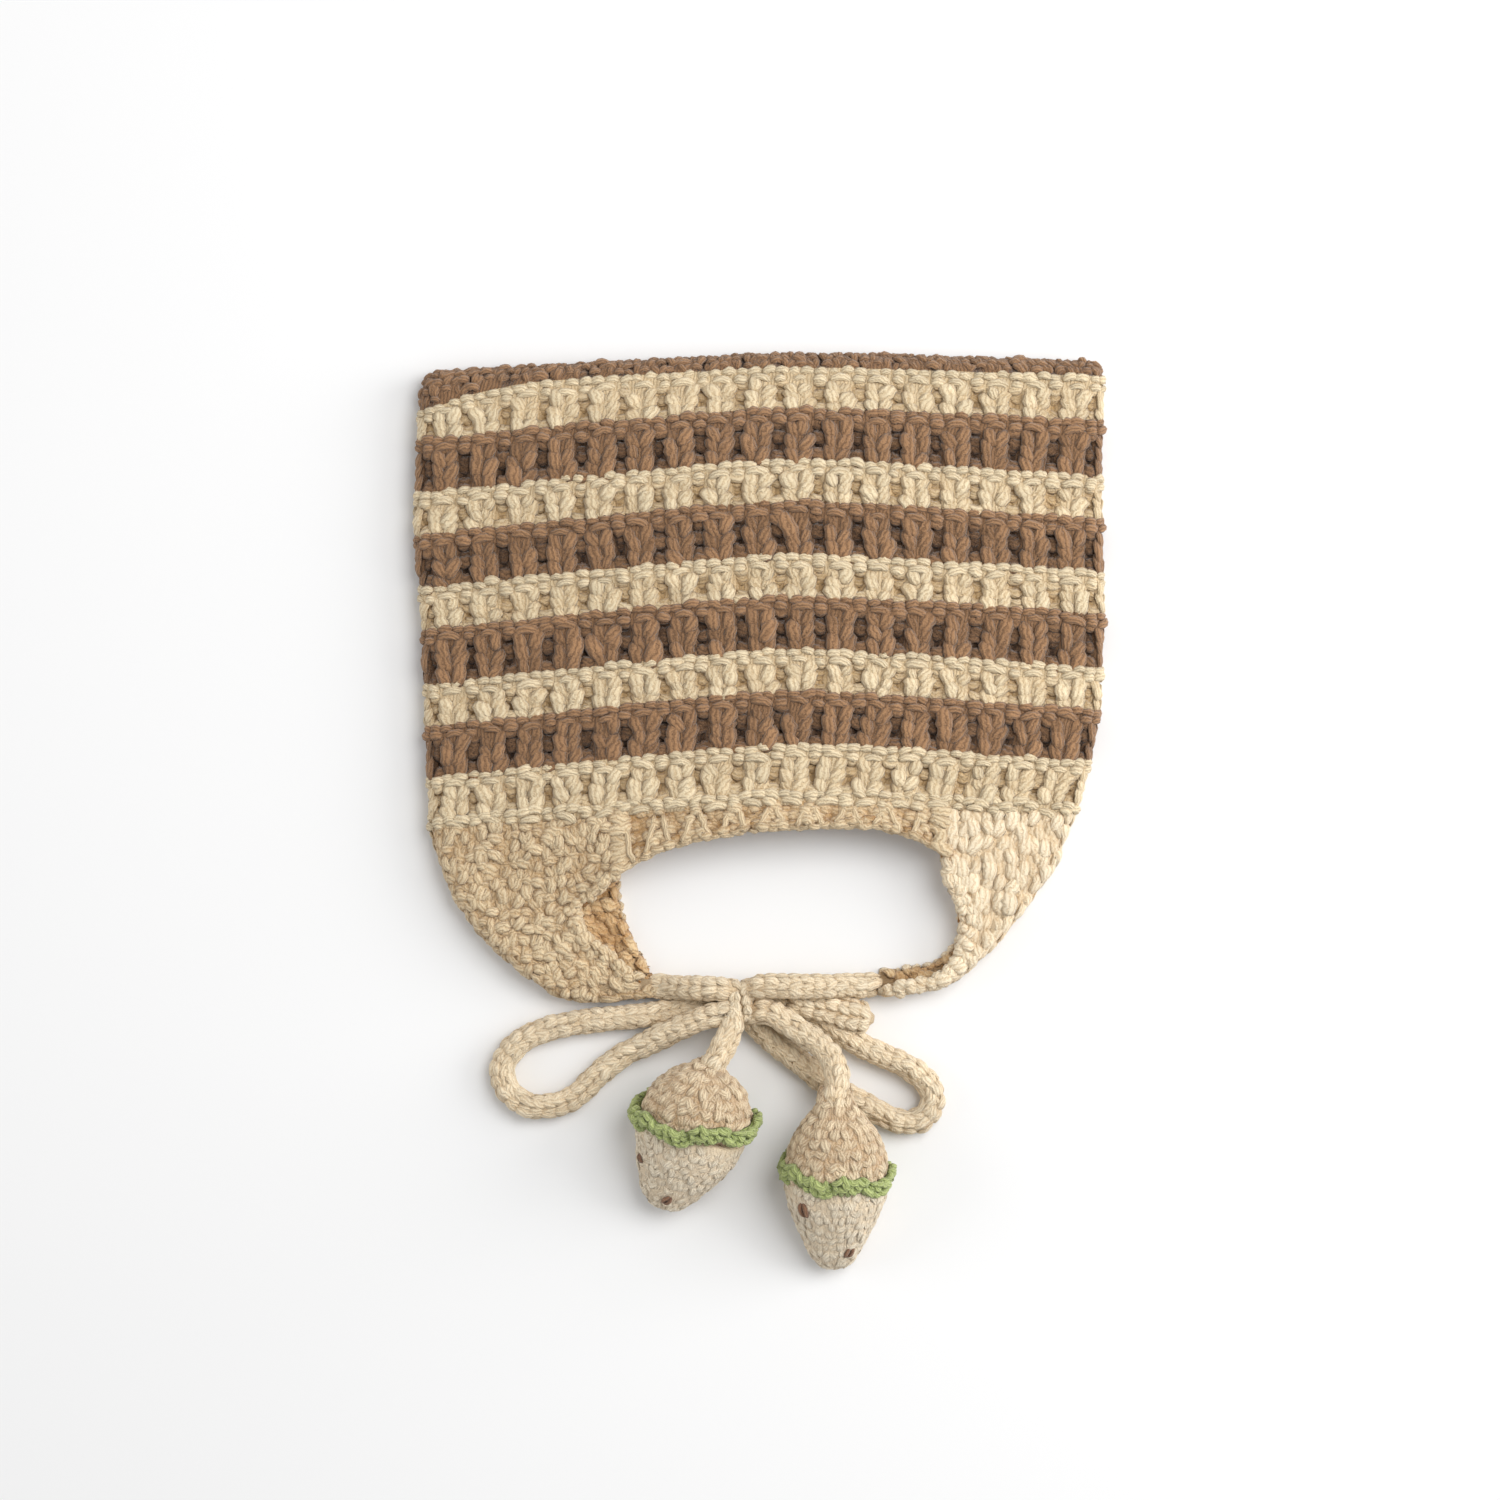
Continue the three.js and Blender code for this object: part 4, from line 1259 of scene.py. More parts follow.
    def build_top(self) -> None:
        """Builds the last brown rows and the seam that closes the top."""
        rng = np.random.default_rng(self.seed + 2)
        mesh = PieceMesh()
        columns = np.arange(0, RIBS, 1 / 3)
        leg = Strand(((0.2, -2.1, -1.8), (0.6, -0.8, -0.8), (1.2, 0.7, -0.7), (1.4, 2.1, -1.8)),
                     oval=(1.15, 0.9))
        purl = Strand(((-2.0, -0.3, -1.6), (0, 0.2, -0.5), (2.0, -0.3, -1.6)), oval=(1.25, 0.9))
        for number in range(self.top_courses):
            row = self.last - self.top_margin - self.top_course * number
            spots = Spots.scattered(rng, columns, row, loose=2.4)
            kept = row > self.top_start + self.top_overlap - self.sag(columns, np.full_like(columns, row))
            odd = (np.arange(len(columns)) + number) % 2 == 0
            if (kept & odd).any():
                purl.lay(mesh, self.surface, spots.only(kept & odd))
            for mirror in (-1.0, 1.0):
                turn = rng.normal(0, 0.3, len(columns))
                legs = Spots.scattered(rng, columns, row, mirror, turn=turn, loose=2.0)
                if (kept & ~odd).any():
                    leg.lay(mesh, self.surface, legs.only(kept & ~odd))
        self.workshop.finish(mesh, "top_rows", Yarn.BROWN, Slot.STRIPED)


UP = np.array([0.0, 0.0, 1.0])
EDGE_ROUND = 1.0
EDGE_STEPS = 8
TURN_STEPS = 24
OVER_STEPS = 30
HINGE_SHARE = 0.87

# The strands of a flap's rolled border, as distances in from the open edge and half widths
BORDER_ROWS = ((0.7, 1.6), (2.6, 1.9), (4.6, 1.9))


@dataclass
class Flap:
    """An ear flap: a sheet folded in two along its outer edge, open towards the face."""

    workshop: Workshop
    side: Side
    rows: Table
    yarn: Yarn
    seed: int
    skin: float = 0.7
    lining: float = 0.6
    lining_shade: float = -0.8
    chart_rows: int = 56
    chart_columns: int = 90
    stitch: float = 3.5
    course: float = 3.0
    moss_margin: float = 0.7
    moss_swaps: float = 0.18
    rib_x: float = -61.9
    rib_pitch: float = 11.8
    rib_fade: float = 24.0
    rib_relief: float = 0.45
    slot_pitch: float = 3.77
    slot_course: float = 4.2
    slot_margin: float = 1.3
    slot_pull: float = 0.4
    hem: float = 0.012
    border: float = 4.2
    border_pitch: float = 3.2
    free_below: float = -60.0
    inside_width: float = 2.3
    inside_relief: float = 0.75
    inside_step: int = 3
    inside_pitch: float = 3.6
    inside_reach: float = 30.0

    def __post_init__(self) -> None:
        """Charts the outer and the inner side."""
        table = smooth_rows(np.array(self.rows), self.chart_rows)
        sections = [self.section(row, i / (self.chart_rows - 1)) for i, row in enumerate(table)]
        outer, flat, inner = (np.stack(lines) for lines in zip(*sections))
        across = np.linspace(0, 1, self.chart_columns)
        along = np.linspace(0, 1, self.chart_rows)
        self.outer = KnitSurface(outer, across, along, flat=flat)
        self.inner = KnitSurface(inner, across, along)
        for surface in (self.outer, self.inner):
            surface.face(self.chart_rows // 3, self.chart_columns * 3 // 4, UP)

    def section(self, row: Array, share: float) -> tuple[Array, Array, Array]:
        """Gives one cross-section of the folded flap.

        Args:
            row: The fold's, the front edge's and the back edge's place, and half the fold's height.
            share: How far from the mouth to the tip the section is, from 0 to 1.

        Returns:
            The outer side from the back edge round the fold to the front edge, the same line
            rolled out flat, and the inner side from the front edge to the back edge.
        """
        fold, front, back, half = row[0:2], row[2:4], row[4:6], row[6]
        wall = min(WALL, half * FLAP_WALL_SHARE)
        width = float(np.linalg.norm(front - fold))
        back_width = float(np.linalg.norm(back - fold))
        near = min(half, width * FLAP_FOLD_SHARE)
        turn = np.linspace(-math.pi / 2, math.pi / 2, TURN_STEPS)
        under = np.linspace(back_width - EDGE_ROUND, near, TURN_STEPS)
        over = np.linspace(near, width - EDGE_ROUND, OVER_STEPS)
        bend = np.linspace(0, math.pi / 2, EDGE_STEPS)
        tip = width - EDGE_ROUND + np.sin(bend)

        def lift(along: Array) -> Array:
            """Gives how far the front half rises over the fold's height, at distances from the fold."""
            x, y = (fold + (front - fold) * (along / width)[:, None]).T
            return front_rise(x, y) * (1 + (smoothstep(along, 0, FLAP_RISE_LENGTH) - 1) * min(1.0, share * 3))

        def place(edge: Array, reach: float, along: Array, z: Values) -> Array:
            """Sets points of the section in place.

            Args:
                edge: The open edge that they lie towards.
                reach: Its distance from the fold.
                along: The points' distances from the fold.
                z: Their heights.

            Returns:
                The places. The first section lies along the mouth's arch.
            """
            flat = fold + (edge - fold) * (along / reach)[:, None]
            y = flat[:, 1] if share > 0 else row_y(flat[:, 0], 0) - SEAT_GAP
            return np.stack([flat[:, 0], y, np.broadcast_to(z, len(along))], -1)

        tip_z = 2 * half + lift(tip) - wall / 2 * (1 - np.cos(bend))
        line = np.concatenate([
            place(back, back_width, back_width - EDGE_ROUND + np.cos(bend), wall / 2 * (1 - np.sin(bend))),
            place(back, back_width, under[1:-1], 0.0),
            place(front, width, near * (1 - np.cos(turn)), half * (1 + np.sin(turn))),
            place(front, width, over[1:], 2 * half + lift(over[1:])),
            place(front, width, tip[1:], tip_z[1:]),
        ])
        length = arc_length(line)
        fold_index = EDGE_STEPS + TURN_STEPS - 2 + (TURN_STEPS - 1) / 2
        outermost = float(np.interp(fold_index, np.arange(len(length)), length))
        outer, at = spread(line, self.chart_columns)
        run = at - outermost - half * (math.pi / 2 - 1)
        flat = fold + unit(front - fold) * run[:, None]
        under_tip = 2 * half + lift(tip) - wall + wall / 2 * (1 - np.cos(bend))
        within = np.concatenate([
            place(front, width, tip[::-1], under_tip[::-1]),
            place(front, width, over[::-1], 2 * half + lift(over[::-1]) - wall),
            place(back, back_width, np.array([near * HINGE_SHARE]), half),
            place(back, back_width, under[::-1], wall),
            place(back, back_width, back_width - EDGE_ROUND + np.sin(bend[1:]),
                  wall - wall / 2 * (1 - np.cos(bend[1:]))),
        ])
        return outer, flat, spread(within, self.chart_columns)[0]

    def build(self) -> None:
        """Builds the sheet and its stitches."""
        mesh = PieceMesh()
        across = self.outer.across
        skins = [self.outer.skin(across, -self.skin), self.inner.skin(across, -self.lining)]
        # The inner side is given a low height and the darker, more orange wrong-side colour: painted shade
        # inside the fold
        heights = np.repeat([-self.skin, self.lining_shade], self.chart_columns)
        loft(mesh, np.concatenate(skins, axis=1), heights)
        mesh.paints[0] = np.tile(np.repeat([0, 1], self.chart_columns), self.chart_rows - 1)
        piece = self.workshop.finish(
            mesh, f"{self.side.value}_flap_sheet", [self.yarn, Yarn.WRONG_SIDE], Slot.KNIT,
            f"{self.side.value}_ear_flap")
        tidy(piece)
        self.build_stitches()
        self.build_border()
        self.build_inside()

    def build_stitches(self) -> None:
        """Lays the outer side's stitches: moss stitch, or pairs of puffy ones in puffed yarn."""
        rng = np.random.default_rng(self.seed)
        mesh = PieceMesh(low=-1.5, high=0.3)
        # The moss grid is drawn for both yarns, which keeps the order of the random draws
        x, down, number = self.grid(self.stitch, self.course)
        ridge = np.clip(1 - down / self.rib_fade, 0, 1)
        wave = np.cos(2 * math.pi * (x - self.rib_x) / self.rib_pitch)
        y = row_y(x, 0) - SEAT_GAP - self.moss_margin - down
        x = x + rng.normal(0, 0.55, x.shape)
        y = y + rng.normal(0, 0.4, x.shape)
        swapped = rng.random(x.shape) < self.moss_swaps
        if self.yarn is Yarn.PUFFED:
            self.lay_slots(mesh, rng)
        else:
            self.lay_moss(mesh, rng, (x, y), number % 2 != swapped, (ridge, wave))
        self.workshop.finish(mesh, f"{self.side.value}_flap_stitches", self.yarn, Slot.KNIT)

    def grid(self, pitch: float, course: float) -> tuple[Array, Array, Array]:
        """Spreads columns and courses of stitches over the flat sheet's box.

        Args:
            pitch: Width of a column.
            course: Height of a course.

        Returns:
            Places across, distances down from the top, and the sums of column and course number.
        """
        sheet = self.outer.flat.reshape(-1, 2)
        low, high = sheet.min(0), sheet.max(0)
        columns = np.arange(low[0], high[0], pitch)
        courses = np.arange(0, high[1] - low[1], course)
        x, down = np.meshgrid(columns, courses)
        return x, down, np.arange(len(courses))[:, None] + np.arange(len(columns))[None]

    def on_sheet(self, x: Array, y: Array) -> tuple[Array, Array, Array]:
        """Finds where places of the flat sheet lie, and which are clear of its open edges.

        Args:
            x: Places across the flat sheet.
            y: Places along it.

        Returns:
            The coordinates across and along, and which of the places take a stitch.
        """
        across, along, inside = self.outer.find(x.ravel(), y.ravel())
        border = self.border / self.section_length(along)
        free = np.interp(along, self.outer.along, self.outer.points[:, -1, 1]) < self.free_below
        inside &= across < 1 - np.where(free, border, self.hem)
        inside &= across > border * 0.5
        return across, along, inside

    def lay_moss(self, mesh: PieceMesh, rng: Rng, places: tuple[Array, Array], odd: Array,
                 ribs: tuple[Array, Array]) -> None:
        """Lays moss stitch, with the crown's ribs running out in it at its top.

        Args:
            mesh: The piece that takes it.
            rng: The source of small differences.
            places: The stitches' places across and along the flat sheet.
            odd: Which of them are knitted. The others are purled.
            ribs: How much of a rib is left at each place, and how high on the rib the place is.
        """
        purl = Strand(((-2.3, -0.5, -1.2), (-1.0, 0.1, -0.6), (1.0, 0.1, -0.6), (2.3, -0.5, -1.2)),
                      oval=(1.85, 0.75), steps=6)
        leg = Strand(((0.2, -2.3, -1.2), (0.7, -0.7, -0.65), (1.1, 0.6, -0.6), (1.1, 2.2, -1.2)),
                     oval=(1.45, 0.72), steps=6)
        left_of_rib = ribs[0].ravel()
        lifts = self.rib_relief * left_of_rib * ribs[1].ravel()
        across, along, inside = self.on_sheet(*places)
        for strand, knitted, mirrors in ((purl, False, (1.0,)), (leg, True, (-1.0, 1.0))):
            keep = inside & (odd.ravel() == knitted)
            turn = rng.normal(0, 0.35, int(keep.sum())) * (1 - 0.6 * left_of_rib[keep])
            for mirror in mirrors:
                strand.lay(mesh, self.outer, Spots.scattered(
                    rng, across[keep], along[keep], mirror, turn=turn, lift=lifts[keep], loose=2.4))

    def lay_slots(self, mesh: PieceMesh, rng: Rng) -> None:
        """Lays puffy upright stitches in pairs, with slots between the pairs in a brick pattern.

        Args:
            mesh: The piece that takes them.
            rng: The source of small differences.
        """
        tall = Strand(((-0.15, -3.3, -1.1), (0.1, -1.5, -0.55), (0.15, 0, -0.45), (0.1, 1.5, -0.55),
                       (-0.15, 3.3, -1.1)), oval=(2.05, 0.7))
        x, down, number = self.grid(self.slot_pitch, self.slot_course)
        pull = np.where(number % 2 == 0, self.slot_pull, -self.slot_pull)
        y = row_y(x, 0) - SEAT_GAP - self.slot_margin - down + rng.normal(0, 0.7, x.shape)
        x = x + pull + rng.normal(0, 0.35, x.shape)
        across, along, inside = self.on_sheet(x, y)
        turn = rng.normal(0, 0.24, int(inside.sum()))
        tall.lay(mesh, self.outer, Spots.scattered(rng, across[inside], along[inside], turn=turn, loose=2.0))

    def section_length(self, along: Array) -> Array:
        """Gives the length of the outer line of the sections at coordinates along the flap."""
        lengths = np.array([arc_length(line)[-1] for line in self.outer.points])
        return np.interp(along, self.outer.along, lengths)

    def build_border(self) -> None:
        """Lays the rolled strip along both open edges."""
        rng = np.random.default_rng(self.seed + 1)
        mesh = PieceMesh(low=-2.0, high=0.5)
        for column in (-1, 0):
            edge = self.outer.points[:, column]
            run = arc_length(edge)
            steps = np.arange(1, int(run[-1] / self.border_pitch)) * self.border_pitch
            along = np.interp(steps, run, self.outer.along)
            along = along[np.interp(along, self.outer.along, edge[:, 1]) < self.free_below]
            for inward, half_width in BORDER_ROWS:
                stitch = Strand(((-0.5, -2.0, -1.3), (-0.25, 0, -0.15), (0.5, 2.0, -1.3)),
                                oval=(half_width, 1.0))
                across = inward / self.section_length(along)
                across = across if column == 0 else 1 - across
                turn = self.edge_turn(across, along) + rng.normal(0, 0.55, len(along))
                stitch.lay(mesh, self.outer, Spots.scattered(rng, across, along, turn=turn, loose=2.6))
        self.workshop.finish(mesh, f"{self.side.value}_flap_border", self.yarn, Slot.KNIT)

    def edge_turn(self, across: Array, along: Array) -> Array:
        """Gives the turns in the flat sheet, in radians, that lay strands along the open edge."""
        ahead = self.outer.sample(self.outer.turns, across, along)[:, 2:]
        return np.arctan2(-ahead[:, 0], ahead[:, 1])

    def build_inside(self) -> None:
        """Lays the purl bumps of the wrong side over the inner side, near the open edges."""
        rng = np.random.default_rng(self.seed + 2)
        mesh = PieceMesh(low=-1.2, high=0.8)
        purl = Strand(((-2.6, 0.3, -1.1), (-0.8, -0.25, -0.55), (0.8, 0.25, -0.55), (2.6, -0.3, -1.1)),
                      oval=(self.inside_width, self.inside_relief))
        spots = []
        for i in range(2, self.chart_rows - 2, self.inside_step):
            run = arc_length(self.inner.points[i])[-1]
            for reach in np.arange(2.0, self.inside_reach, self.inside_pitch):
                if reach < run * 0.45:
                    spots += [(reach / run, self.inner.along[i]), ((run - reach) / run, self.inner.along[i])]
        across, along = np.array(spots).T
        lean = 0.4 + rng.normal(0, 0.5, len(across))
        purl.lay(mesh, self.inner, Spots.scattered(rng, across, along, turn=lean, loose=3.0))
        # These bumps take the darker, more orange wrong-side colour: painted shade inside the fold
        self.workshop.finish(mesh, f"{self.side.value}_flap_wrong_side", Yarn.WRONG_SIDE, Slot.KNIT)


# The strand that closes a brim's rib to a point, from the mouth down: its lifts and half sizes
SLANT_HEIGHT = np.array([-1.2, -0.5, -0.25, -0.2, -0.2, -0.2, -0.25, -0.45, -1.2])
SLANT_SIZE = np.array([0.5, 0.8, 0.9, 0.9, 0.9, 0.9, 0.9, 0.85, 0.5])
SLANT_OVAL = (1.1, 0.9)

# The rows of purls between a brim's ribs, and the rows of its roll with their shifts aside
FILL_ROWS = (0.0, 0.2, 0.4, 0.6, 0.8)
ROLL_ROWS = ((0.9, 0.0), (1.0, 1.5))
# The bridges at a brim's ends: places across the hat and heights
BRIDGES = ((BRIM_LEFT_X - 0.2, 16.0), (BRIM_RIGHT_X + 0.2, 12.0))


@dataclass
class Brim:
    """One layer's narrow edge under the mouth: the front one rolls up, and the back one is flat."""

    workshop: Workshop
    layer: Layer
    seed: int
    skin: float = 1.2
    skin_shade: float = -1.9
    edge_drop: float = 1.3
    front_lining: float = 0.5
    back_lining: float = 0.6
    rows: int = 14
    columns: int = 100
    rib_pitch: float = 11.8
    rib_start: float = -102.4
    rib_margin: float = 4.5
    rib_half: float = 4.3
    slant_span: tuple[float, float] = (0.02, 0.86)
    slant_easing: float = 0.8
    slant_gap: float = 0.5
    slant_sway: float = 0.22
    slant_tone: tuple[float, float] = (0.6, 0.3)
    fill_lift: float = 0.2
    fill_recess: float = 0.75
    fill_reach: float = 4.6
    fill_shift: float = 1.4
    bridge_pitch: float = 1.9
    roll_pitch: float = 3.1

    def __post_init__(self) -> None:
        """Charts the outer side, which faces up."""
        self.surface = self.chart()
        self.surface.face(2, self.columns // 2, UP)
        first = self.rib_start + self.rib_pitch / 2
        centres = first + self.rib_pitch * np.arange(RIBS // 2)
        self.ribs = centres[(centres > BRIM_LEFT_X + self.rib_margin)
                            & (centres < BRIM_RIGHT_X - self.rib_margin)]

    def chart(self) -> KnitSurface:
        """Charts the outer side, round its lower edge.

        Returns:
            The surface, with places across the hat across it and shares of its height along it.
        """
        front = self.layer is Layer.FRONT
        edge_x, edge_y = np.array(BRIM_EDGE).T
        across = np.linspace(BRIM_LEFT_X, BRIM_RIGHT_X, self.columns)
        top = row_y(across, 0) - SEAT_GAP
        bottom = np.interp(across, edge_x, edge_y) + (0 if front else BACK_BRIM_SHORTER)
        rows = []
        for share in np.linspace(0, 1, self.rows):
            y = top + (bottom + self.edge_drop - top) * share
            z = np.full_like(y, WALL)
            if front:
                z = 2 * FOLD_HALF + front_rise(across, y) + BRIM_ROLL * smoothstep(share, 0.5, 1.0)
            rows.append(np.stack([across, y, z], -1))
        last = rows[-1]
        for turn in np.linspace(0, math.pi / 2, 7)[1:]:
            drop = (WALL / 2) * (1 - math.cos(turn))
            rows.append(last + np.array([0, -self.edge_drop * math.sin(turn), -drop]))
        return KnitSurface(np.stack(rows), across, np.linspace(0, 1, len(rows)))

    def build(self) -> None:
        """Builds the sheet and its stitches."""
        self.build_sheet()
        self.build_stitches()

    def build_sheet(self) -> None:
        """Builds the sheet under the stitches."""
        outer = self.surface.skin(self.surface.across, -self.skin)
        under = self.surface.points[:self.rows][::-1].copy()
        under[..., 2] -= WALL - self.front_lining
        if self.layer is Layer.BACK:
            under[..., 2] = self.back_lining
        skin = np.swapaxes(np.concatenate([outer, under]), 0, 1)
        mesh = PieceMesh()
        # The sheet shows only between the stitches: its low height paints it mostly with shade, and its
        # underside takes the darker wrong-side colour, painted shade under the brim
        loft(mesh, skin, self.skin_shade)
        mesh.paints[0] = np.tile(np.repeat([0, 1], [len(outer), len(under)]), self.columns - 1)
        piece = self.workshop.finish(
            mesh, f"{self.layer.value}_brim_sheet", [Yarn.MOSS, Yarn.WRONG_SIDE], Slot.KNIT,
            f"{self.layer.value}_brim")
        tidy(piece)

    def lay_slant(self, mesh: PieceMesh, rng: Rng, centre: float, mirror: float) -> None:
        """Lays one of the two strands that close a rib to a point.

        Args:
            mesh: The piece that takes it.
            rng: The source of small differences.
            centre: The rib's place across the hat.
            mirror: 1 for the strand on the right, -1 for the left.
        """
        count = len(SLANT_HEIGHT)
        share = np.linspace(*self.slant_span, count)
        reach = self.rib_half * (1 - share) ** self.slant_easing + self.slant_gap
        across = centre + mirror * reach + rng.normal(0, self.slant_sway, count)
        places, normals = self.surface.place(across, share, SLANT_HEIGHT)
        halves = tuple(SLANT_SIZE[None] * size for size in SLANT_OVAL)
        tones = rng.normal(*self.slant_tone, 1)
        sweep(mesh, places[None], normals[None], halves, 8, tones, SLANT_HEIGHT[None])

    def build_stitches(self) -> None:
        """Lays the pointed ribs, the purls between them, the bridges at the ends and the roll."""
        rng = np.random.default_rng(self.seed)
        mesh = PieceMesh(low=-1.9, high=0.4)
        for centre in self.ribs:
            for mirror in (-1.0, 1.0):
                self.lay_slant(mesh, rng, centre, mirror)
        fill = Strand(((-2.0, 0.3, -1.6), (0, -0.2, -0.8), (2.0, 0.3, -1.6)), oval=(1.8, 0.85))
        half = self.rib_pitch / 2
        for number, share in enumerate(FILL_ROWS):
            x = np.arange(BRIM_LEFT_X + 0.2, BRIM_RIGHT_X, self.rib_pitch / 4)
            x = x + (number % 2) * self.fill_shift
            x = x[x < BRIM_RIGHT_X]
            from_rib = np.abs((x - self.ribs[0] + half) % self.rib_pitch - half)
            recess = smoothstep(self.fill_reach * (1 - share) - from_rib, -0.8, 1.2)
            lift = self.fill_lift - self.fill_recess * recess
            fill.lay(mesh, self.surface, Spots.scattered(rng, x, share, lift=lift, loose=2.2))
        bridge = Strand(((-3.4, 0.4, -1.2), (-1.2, -0.2, -0.35), (1.2, 0.2, -0.35), (3.4, -0.4, -1.2)),
                        oval=(1.9, 0.95))
        for x, tall in BRIDGES:
            share = np.arange(0.04, 0.97, self.bridge_pitch / tall)
            turn = rng.normal(0, 0.4, len(share))
            bridge.lay(mesh, self.surface, Spots.scattered(rng, x, share, turn=turn, loose=2.0))
        roll = Strand(((-2.2, 0, -1.0), (0, 0.2, -0.2), (2.2, 0, -1.0)), oval=(1.6, 0.95))
        for share, shift in ROLL_ROWS:
            x = np.arange(BRIM_LEFT_X + 1.4 + shift, BRIM_RIGHT_X - 1.0, self.roll_pitch)
            roll.lay(mesh, self.surface, Spots.scattered(rng, x, share, loose=2.0))
        self.workshop.finish(mesh, f"{self.layer.value}_brim_stitches", Yarn.MOSS, Slot.KNIT)


@dataclass(frozen=True)
class Placing:
    """Where a strawberry lies."""

    x: float
    y: float
    z: float
    turn: float
    scale: float
    flare: float
    tilt: float = 21.0
    flatten: float = 0.8

    def to_world(self, points: Array) -> Array:
        """Moves points from the strawberry's own axes to the hat's.

        Args:
            points: Places, with the cord's end of the strawberry along +Y.

        Returns:
            The places in the hat's frame, in millimetres.
        """
        scaled = points * np.array([self.scale, self.scale, self.scale * self.flatten])
        tilt = math.radians(self.tilt)
        turn = math.radians(self.turn)
        lean = np.array([
            [1, 0, 0], [0, math.cos(tilt), -math.sin(tilt)], [0, math.sin(tilt), math.cos(tilt)]])
        spin = np.array([
            [math.cos(turn), -math.sin(turn), 0], [math.sin(turn), math.cos(turn), 0], [0, 0, 1]])
        return scaled @ (spin @ lean).T + np.array([self.x, self.y, self.z])


@dataclass(frozen=True)
class Crochet:
    """The stitches of one stuffed part of a strawberry."""

    part: str
    pitch: float
    course: float
    relief: float
    yarn: Yarn


@dataclass(frozen=True)
class Seed:
    """One embroidered seed."""

    x: float
    y: float
    turn: float
    size: float


DOME = Crochet("dome", pitch=3.8, course=3.3, relief=1.05, yarn=Yarn.CROCHET)
BODY = Crochet("body", pitch=3.1, course=2.8, relief=0.55, yarn=Yarn.FELTED)

# Columns: radius, place along the strawberry's axis
DOMES = {
    Side.LEFT: ((17.4, 0.2), (17.3, 3.6), (15.2, 10.4), (11.0, 15.6), (6.2, 18.8), (3.8, 20.8), (0.0, 21.4)),
    Side.RIGHT: ((15.9, 0.2), (15.9, 3.6), (15.1, 8.0), (12.8, 14.2), (9.9, 18.4), (7.3, 22.0), (5.7, 25.4),
                 (4.8, 29.0), (0.0, 29.6)),
}
BODIES = {
    Side.LEFT: ((0.0, -31.0), (4.2, -30.4), (7.6, -27.4), (11.4, -21.0), (14.9, -13.2), (17.0, -6.0),
                (17.3, -0.2)),
    Side.RIGHT: ((0.0, -31.0), (4.0, -30.3), (6.9, -27.2), (10.2, -20.6), (13.4, -13.0), (15.5, -6.0),
                 (15.8, -0.2)),
}
NECK_START = 16.0
LEAST_RADIUS = 0.02

# Columns: radius, place along the axis, share of the strawberry's flare
RIM = (
    (17.7, 4.3, 0.4), (18.5, 3.5, 1.0), (18.5, 0.9, 1.0), (17.8, -0.9, 0.4), (17.0, -0.1, 0.0),
    (17.2, 2.5, 0.0),
)
# The rounds of stitches on the rim, as shares of the way round its section and turns
RIM_ROUNDS = ((0.22, 0.2), (0.36, -0.2), (0.5, 0.2), (0.08, 0.0))


